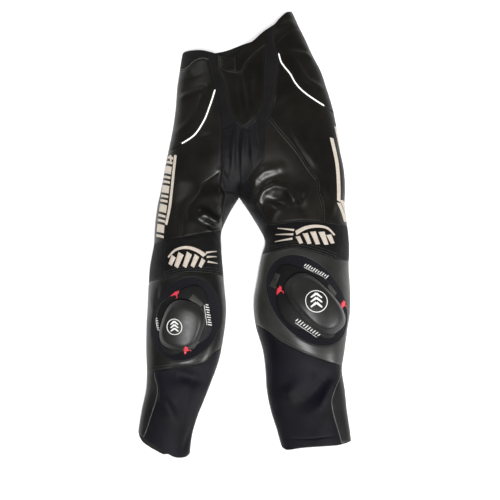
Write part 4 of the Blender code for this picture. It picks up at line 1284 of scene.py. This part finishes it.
def ribbon(points, start, end, slant=0.0):
    """Plan points of a band along a line, its ends cut at a slant."""
    p = np.array(points, dtype=float)
    cells = max(5, int(length_of(p) / RIBBON_STEP))
    shares = np.linspace(0, 1, cells + 1)
    line = plan_curve(p, shares) if len(p) > 2 else p[0] + (p[1] - p[0]) * shares[:, None]
    way = unit(np.gradient(line, axis=0))
    side = np.stack([-way[:, 1], way[:, 0]], axis=1)
    half_width = np.linspace(start, end, cells + 1)[:, None] / 2
    across = RIBBON_ACROSS[None, :, None] * half_width[:, None]
    return line[:, None] + side[:, None] * across + way[:, None] * across * slant


def tapered(table, slant=0.0):
    """Ribbons of a table: half, width at the start and at the end, plan points."""
    return [(half, ribbon(points, start, end, slant)) for half, start, end, points in table]


def lay(name, bands, looks, seat):
    """Raised bands on the finished front as one joined mesh; a band is a half and plan points."""
    height, reach, look = LAID[name]
    points, faces, uvs, count = [], [], [], 0
    for half, plan in bands:
        x, y = plan[..., 0], plan[..., 1]
        spot, up = seat.under(q_at(x, y, half), y, reach)
        rise = np.full(x.shape, LAID_EDGE * height)
        rise[1:-1, 1:-1] = height
        some, their, _ = wall(spot + up * rise[..., None], spot - up * LAID_UNDER)
        points.append(some)
        faces.append(their + count)
        uvs.append(twice(plan * MM))
        count += len(some)
    return settle(make(name, np.concatenate(points), np.concatenate(faces), [looks[look]],
                       np.concatenate(uvs)))


def side_blocks():
    """Slanted blocks one after another down the outer side of the right thigh."""
    run = length_of(np.array(BLOCK_PATH, dtype=float))
    at, found = 0.0, []
    for long in BLOCK_LENGTHS:
        ends = plan_curve(BLOCK_PATH, np.array([at, at + long]) / run)
        found.append(("r", ribbon(ends, BLOCK_WIDE, BLOCK_WIDE, BLOCK_SLANT)))
        at += long + BLOCK_GAP
    return found


def printed_bars():
    """Short bars across a path, every third one shorter, and a thin line beside them."""
    found = []
    for half, count, long, path in PRINTED_ROWS:
        p = np.array(path, dtype=float)
        way = unit(p[1] - p[0])
        side = np.array([-way[1], way[0]])
        for k, share in enumerate(np.linspace(0, 1, count)):
            middle = p[0] + (p[1] - p[0]) * share
            reach = long / 2 * (1.0 if k % BAR_EVERY else BAR_SHORT)
            tip = (side + way * BAR_LEAN) * reach
            found.append((half, ribbon((middle - tip, middle + tip), PRINTED_WIDE, PRINTED_WIDE)))
        beside = p - side * (long / 2 + BAR_GAP)
        found.append((half, ribbon(beside, BAR_LINE, BAR_LINE)))
    return found


def pull_shapes():
    """A leaf of tapered strokes at each pull."""
    found = []
    for half, x, y, lean in PULLS:
        for start, end, points in PULL_STROKES:
            spun = [spin(u, v, lean) for u, v in points]
            found.append((half, ribbon([(x + u, y + v) for u, v in spun], start, end)))
    return found


def emblem_shapes():
    """A ring with three chevrons in it on each puck."""
    found = []
    turn = np.linspace(0, 2 * math.pi, RING_POINTS)
    for half, x, y, wide, long in EMBLEMS:
        circle = np.stack([x + wide * np.cos(turn), y + long * np.sin(turn)], axis=1)
        found.append((half, ribbon(circle, RING_WIDE, RING_WIDE)))
        for level in EMBLEM_LEVELS:
            for way in (-1, 1):
                tip = (x, y + (level + CHEVRON_TIP) * long)
                foot = (x + way * CHEVRON_REACH * wide, y + (level - CHEVRON_DROP) * long)
                start, end = (share * long for share in CHEVRON_WIDTHS)
                found.append((half, ribbon((foot, tip), start, end)))
    return found


def build_marks(looks, seat):
    marks = {"side_appliques": side_blocks() + tapered(SIDE_BANDS, BAND_SLANT),
             "knee_embroidery": tapered(EMBROIDERY, FAN_SLANT), "lobe_pads": tapered(LOBE_PADS),
             "disc_print": printed_bars(), "red_pulls": pull_shapes(),
             "puck_emblems": emblem_shapes()}
    for name, bands in marks.items():
        lay(name, bands, looks, seat)


def build_tab(looks):
    """Flap that closes the waistband, thicker away from its rounded edges."""
    up_share, shares = np.linspace(0, 1, TAB_ROWS), np.linspace(0, 1, TAB_COLUMNS)
    low, high, t = plan_curve(TAB_LOW, shares), plan_curve(TAB_TOP, shares), up_share[:, None, None]
    plan = low[None] * (1 - t) + high[None] * t
    x, y = plan[..., 0], plan[..., 1]
    edge = np.minimum(np.minimum(up_share, 1 - up_share)[:, None] * TAB_DEEP,
                      np.minimum(shares, 1 - shares)[None] * TAB_WIDE)
    rise = TAB_EDGE + TAB_SWELL * np.sqrt(np.clip(edge / TAB_ROUND, 0, 1))
    upper = above_front(x, y, "c", rise)
    lower = above_front(x, y, "c", np.full(x.shape, TAB_UNDER))
    points, faces, _ = wall(upper, lower)
    piece = make("closure_flap", points, faces, [looks["leather"]], twice(grid_uv(upper)))
    settle(piece, "closure_tab")
    remember("closure_tab", upper)
    declare_sheet(upper)


def plan_curve(points, shares):
    """Plan points at shares of the length of a smooth line."""
    p = np.array(points, dtype=float)
    run = run_of(p)
    at = np.asarray(shares) * run[-1]
    return np.stack([track(list(zip(run, p[:, k])), at) for k in range(2)], axis=1)


class Look:
    """A material's node tree, built node by node."""

    def __init__(self, name, colour, roughness):
        self.material = bpy.data.materials.new(name)
        self.material.use_nodes = True
        self.tree = self.material.node_tree
        self.shader = self.tree.nodes["Principled BSDF"]
        self.shader.inputs["Base Color"].default_value = (*colour, 1.0)
        self.shader.inputs["Roughness"].default_value = roughness
        self.place = self.tree.nodes.new("ShaderNodeTexCoord")

    def node(self, kind, **settings):
        made = self.tree.nodes.new("ShaderNode" + kind)
        for key, value in settings.items():
            if hasattr(made, key):
                setattr(made, key, value)
            else:
                made.inputs[key.replace("_", " ")].default_value = value
        return made

    def join(self, start, end):
        self.tree.links.new(start, end)

    def shade(self, **values):
        """Set plain values of the shader."""
        for key, value in values.items():
            self.shader.inputs[key.replace("_", " ")].default_value = value

    def bands(self, direction, pitch, distortion):
        """Waves at a pitch in metres along the texture places."""
        made = self.node("TexWave", wave_type="BANDS", bands_direction=direction,
                         Scale=WAVE_PERIOD / pitch, Distortion=distortion)
        self.join(self.place.outputs["UV"], made.inputs["Vector"])
        return made.outputs["Fac"]

    def noise(self, scale, detail=3.0, rough=0.5, distortion=0.0):
        made = self.node("TexNoise", Scale=scale, Detail=detail, Roughness=rough,
                         Distortion=distortion)
        self.join(self.place.outputs["Object"], made.inputs["Vector"])
        return made.outputs["Fac"]

    def cells(self, scale):
        made = self.node("TexVoronoi", feature="SMOOTH_F1", Scale=scale)
        self.join(self.place.outputs["Object"], made.inputs["Vector"])
        return made.outputs["Distance"]

    def colour_by(self, value, dark, light):
        """Base colour from dark to light over the middle of a texture's values."""
        made = self.tree.nodes.new("ShaderNodeValToRGB")
        for end, place, colour in zip(made.color_ramp.elements, RAMP, (dark, light)):
            end.position = place
            end.color = (*colour, 1.0)
        self.join(value, made.inputs["Fac"])
        self.join(made.outputs["Color"], self.shader.inputs["Base Color"])

    def rough_by(self, value, low, high):
        """Roughness from low to high over the same values."""
        made = self.node("MapRange", From_Min=RAMP[0], From_Max=RAMP[1], To_Min=low, To_Max=high)
        self.join(value, made.inputs["Value"])
        self.join(made.outputs["Result"], self.shader.inputs["Roughness"])

    def bump(self, height, distance, strength, under=None):
        """Normal of a bump over another, its distance in metres."""
        made = self.node("Bump", Strength=strength, Distance=distance)
        self.join(height, made.inputs["Height"])
        if under:
            self.join(under, made.inputs["Normal"])
        return made.outputs["Normal"]

    def finish(self, normal):
        self.join(normal, self.shader.inputs["Normal"])
        return self.material


def leather(name, dark, light, low, high, wrinkle=0.5):
    """Leather with soft wrinkles, a grain of small cells and a thin glossy coat."""
    look = Look(name, dark, low)
    look.colour_by(look.noise(11.0, 5.0, 0.6), dark, light)
    look.rough_by(look.noise(30.0, 4.0, 0.6), low, high)
    normal = look.bump(look.noise(13.0, 3.0, 0.5, 0.6), 0.008 * wrinkle, 0.35)
    normal = look.bump(look.noise(75.0, 5.0, 0.62, 1.2), 0.0007 * wrinkle, 0.5, normal)
    normal = look.bump(look.cells(620.0), 0.00025, 0.55, normal)
    normal = look.bump(look.noise(2400.0, 2.0), 0.00006, 0.5, normal)
    look.shade(Specular_IOR_Level=0.16, Coat_Weight=0.28, Coat_Roughness=0.27)
    return look.finish(normal)


def textile(name, dark, light, low, high, pitch, sheen, shine=0.15):
    """Weave of crossed threads at a pitch in metres."""
    look = Look(name, dark, low)
    look.colour_by(look.noise(16.0, 4.0, 0.6), dark, light)
    look.rough_by(look.noise(40.0, 3.0), low, high)
    both = look.node("Math", operation="MULTIPLY")
    look.join(look.bands("X", pitch, 0.4), both.inputs[0])
    look.join(look.bands("Y", pitch, 0.4), both.inputs[1])
    normal = look.bump(look.noise(60.0, 4.0, 0.6), 0.0008, 0.5)
    normal = look.bump(both.outputs["Value"], pitch * 0.3, 0.6, normal)
    look.shade(Sheen_Weight=sheen, Sheen_Roughness=0.5, Specular_IOR_Level=shine)
    return look.finish(normal)


def pile(name, dark, light):
    """Short loops of a hook-and-loop pad."""
    look = Look(name, dark, 0.95)
    look.colour_by(look.noise(700.0, 3.0, 0.7), dark, light)
    look.shade(Sheen_Weight=0.04, Sheen_Roughness=0.6, Specular_IOR_Level=0.12)
    return look.finish(look.bump(look.noise(900.0, 3.0, 0.7), 0.0006, 0.9))


def moulded(name, dark, light, low, high, shine=0.45):
    """Plastic or rubber with a fine even grain."""
    look = Look(name, dark, low)
    look.colour_by(look.noise(24.0, 4.0, 0.6), dark, light)
    look.rough_by(look.noise(60.0, 5.0, 0.65), low, high)
    look.shade(Specular_IOR_Level=shine)
    return look.finish(look.bump(look.noise(1400.0, 2.0), 0.00008, 0.5))


def satin(name, dark, light, pitch):
    """Embroidery laid in close slanting threads."""
    look = Look(name, light, 0.55)
    look.colour_by(look.noise(160.0, 3.0, 0.7), dark, light)
    look.shade(Sheen_Weight=0.1)
    return look.finish(look.bump(look.bands("DIAGONAL", pitch, 0.8), pitch * 0.3, 0.7))


def thread(name, colour):
    """Smooth thread, a little uneven in tone."""
    look = Look(name, colour, 0.6)
    look.colour_by(look.noise(500.0), colour, tuple(min(1.0, c * 1.4) for c in colour))
    return look.finish(look.bump(look.noise(1800.0), 0.0001, 0.6))


def make_looks():
    """Looks by name: dark and light tone, roughness from and to, then what the kind asks for."""
    return {
        "leather": leather("trouser_leather", (0.0018, 0.0017, 0.0014), (0.0055, 0.005, 0.0038),
                           0.38, 0.52),
        "knee_leather": leather("knee_panel_leather", (0.010, 0.010, 0.0096),
                                (0.024, 0.024, 0.0225), 0.4, 0.54, 0.4),
        # Painted highlight: the inner left thigh's leather gets a lighter tone where light falls on
        # it
        "painted_highlight_leather": leather("thigh_leather_with_painted_highlight", (0.004, 0.0036, 0.003),
                                  (0.0095, 0.0086, 0.007), 0.38, 0.52),
        # Painted shade: the right knee panel is a darker copy of the knee leather, for where less
        # light falls
        "dark_knee_leather": leather("shaded_knee_leather", (0.002, 0.002, 0.0017),
                                     (0.007, 0.007, 0.0065), 0.44, 0.58, 0.4),
        "side_leather": leather("side_panel_leather", (0.003, 0.003, 0.003),
                                (0.007, 0.007, 0.007), 0.42, 0.56),
        "back_leather": leather("back_panel_leather", (0.006, 0.0055, 0.0045),
                                (0.012, 0.0112, 0.009), 0.42, 0.55),
        "stretch": textile("stretch_weave", (0.002, 0.002, 0.0024), (0.0045, 0.0045, 0.005),
                           0.7, 0.85, 0.0009, 0.04),
        "inner_stretch": textile("gusset_weave", (0.0015, 0.0015, 0.002), (0.004, 0.004, 0.005),
                                 0.42, 0.54, 0.0009, 0.03, 0.17),
        "ribbed_stretch": textile("over_knee_weave", (0.002, 0.002, 0.002),
                                  (0.0045, 0.0045, 0.0045), 0.55, 0.7, 0.0009, 0.015, 0.09),
        "calf_stretch": textile("calf_weave", (0.0015, 0.0015, 0.0027), (0.004, 0.004, 0.007),
                                0.38, 0.48, 0.0007, 0.01, 0.095),
        "back_stretch": textile("back_weave", (0.004, 0.004, 0.0046), (0.008, 0.008, 0.009),
                                0.7, 0.85, 0.0009, 0.08),
        "lining": textile("lining_mesh", (0.010, 0.010, 0.010), (0.018, 0.018, 0.017),
                          0.8, 0.9, 0.0014, 0.05),
        "velcro": pile("loop_pile", (0.0022, 0.0022, 0.0034), (0.006, 0.006, 0.009)),
        "slider_base": moulded("flange_rubber", (0.002, 0.002, 0.0022), (0.0045, 0.0045, 0.005),
                               0.55, 0.7, 0.2),
        "lobe_pad": moulded("lobe_rubber", (0.014, 0.014, 0.012), (0.024, 0.024, 0.02), 0.5, 0.6),
        "knee_puck": moulded("puck_plastic", (0.010, 0.010, 0.0097), (0.015, 0.015, 0.0146),
                             0.32, 0.42, 0.22),
        "reflective": thread("reflective_strip", (0.80, 0.79, 0.74)),
        "thread_bright": thread("bright_thread", (0.30, 0.30, 0.28)),
        "thread_light": thread("light_thread", (0.06, 0.06, 0.056)),
        "thread_dark": thread("dark_thread", (0.012, 0.012, 0.012)),
        "applique": satin("cream_applique", (0.36, 0.315, 0.265), (0.46, 0.41, 0.35), 0.0011),
        "embroidery": satin("cream_satin_stitch", (0.335, 0.29, 0.245), (0.445, 0.39, 0.335), 0.0008),
        "print": moulded("white_print", (0.5, 0.5, 0.485), (0.6, 0.6, 0.58), 0.45, 0.6),
        "red": moulded("red_rubber", (0.42, 0.02, 0.032), (0.54, 0.03, 0.05), 0.4, 0.55),
    }


def add_light(name, place, size, power, glossy):
    """Softbox aimed at the garment's middle, which shows in glossy surfaces if glossy is True."""
    data = bpy.data.lights.new(name, "AREA")
    data.shape = "RECTANGLE"
    data.size, data.size_y = size
    data.energy = power
    lamp = add_object(name, data)
    lamp.visible_glossy = glossy
    lamp.location = place
    lamp.rotation_euler = (-Vector(place)).to_track_quat("-Z", "Y").to_euler()


def build_studio():
    look = Look("pale_floor", FLOOR_DARK, 0.8)
    look.colour_by(look.noise(3.0), FLOOR_DARK, FLOOR_LIGHT)
    mesh = bpy.data.meshes.new("floor")
    corners = [(x * FLOOR_HALF, y * FLOOR_HALF, FLOOR_LOW)
               for x, y in ((-1, -1), (1, -1), (1, 1), (-1, 1))]
    mesh.from_pydata(corners, [], [(0, 1, 2, 3)])
    mesh.materials.append(look.finish(look.bump(look.noise(40.0), 0.0005, 0.1)))
    add_object("floor", mesh)
    world = bpy.data.worlds.new("studio")
    world.use_nodes = True
    sky = world.node_tree.nodes["Background"].inputs
    sky["Color"].default_value = (1, 1, 1, 1)
    sky["Strength"].default_value = WORLD_STRENGTH
    bpy.context.scene.world = world
    for light in LIGHTS:
        add_light(*light)


def build_camera():
    data = bpy.data.cameras.new("camera")
    data.sensor_width = SENSOR
    data.lens = SENSOR * FOCAL_PX / PHOTO_WIDTH
    camera = add_object("camera", data)
    back_off = Vector((0, -math.sin(CAMERA_TILT), math.cos(CAMERA_TILT))) * CAMERA_DISTANCE
    camera.location = Vector(CAMERA_TARGET) + back_off
    camera.rotation_euler = (CAMERA_TILT, 0, 0)
    bpy.context.scene.camera = camera


def main():
    bpy.context.scene.view_settings.view_transform = "Standard"
    build_camera()
    build_studio()
    looks = make_looks()
    build_panels(looks)
    build_knees(looks)
    build_back(looks)
    build_tab(looks)
    seat = Seat()
    build_stitches(looks, seat)
    build_piping(looks)
    build_marks(looks, seat)


main()
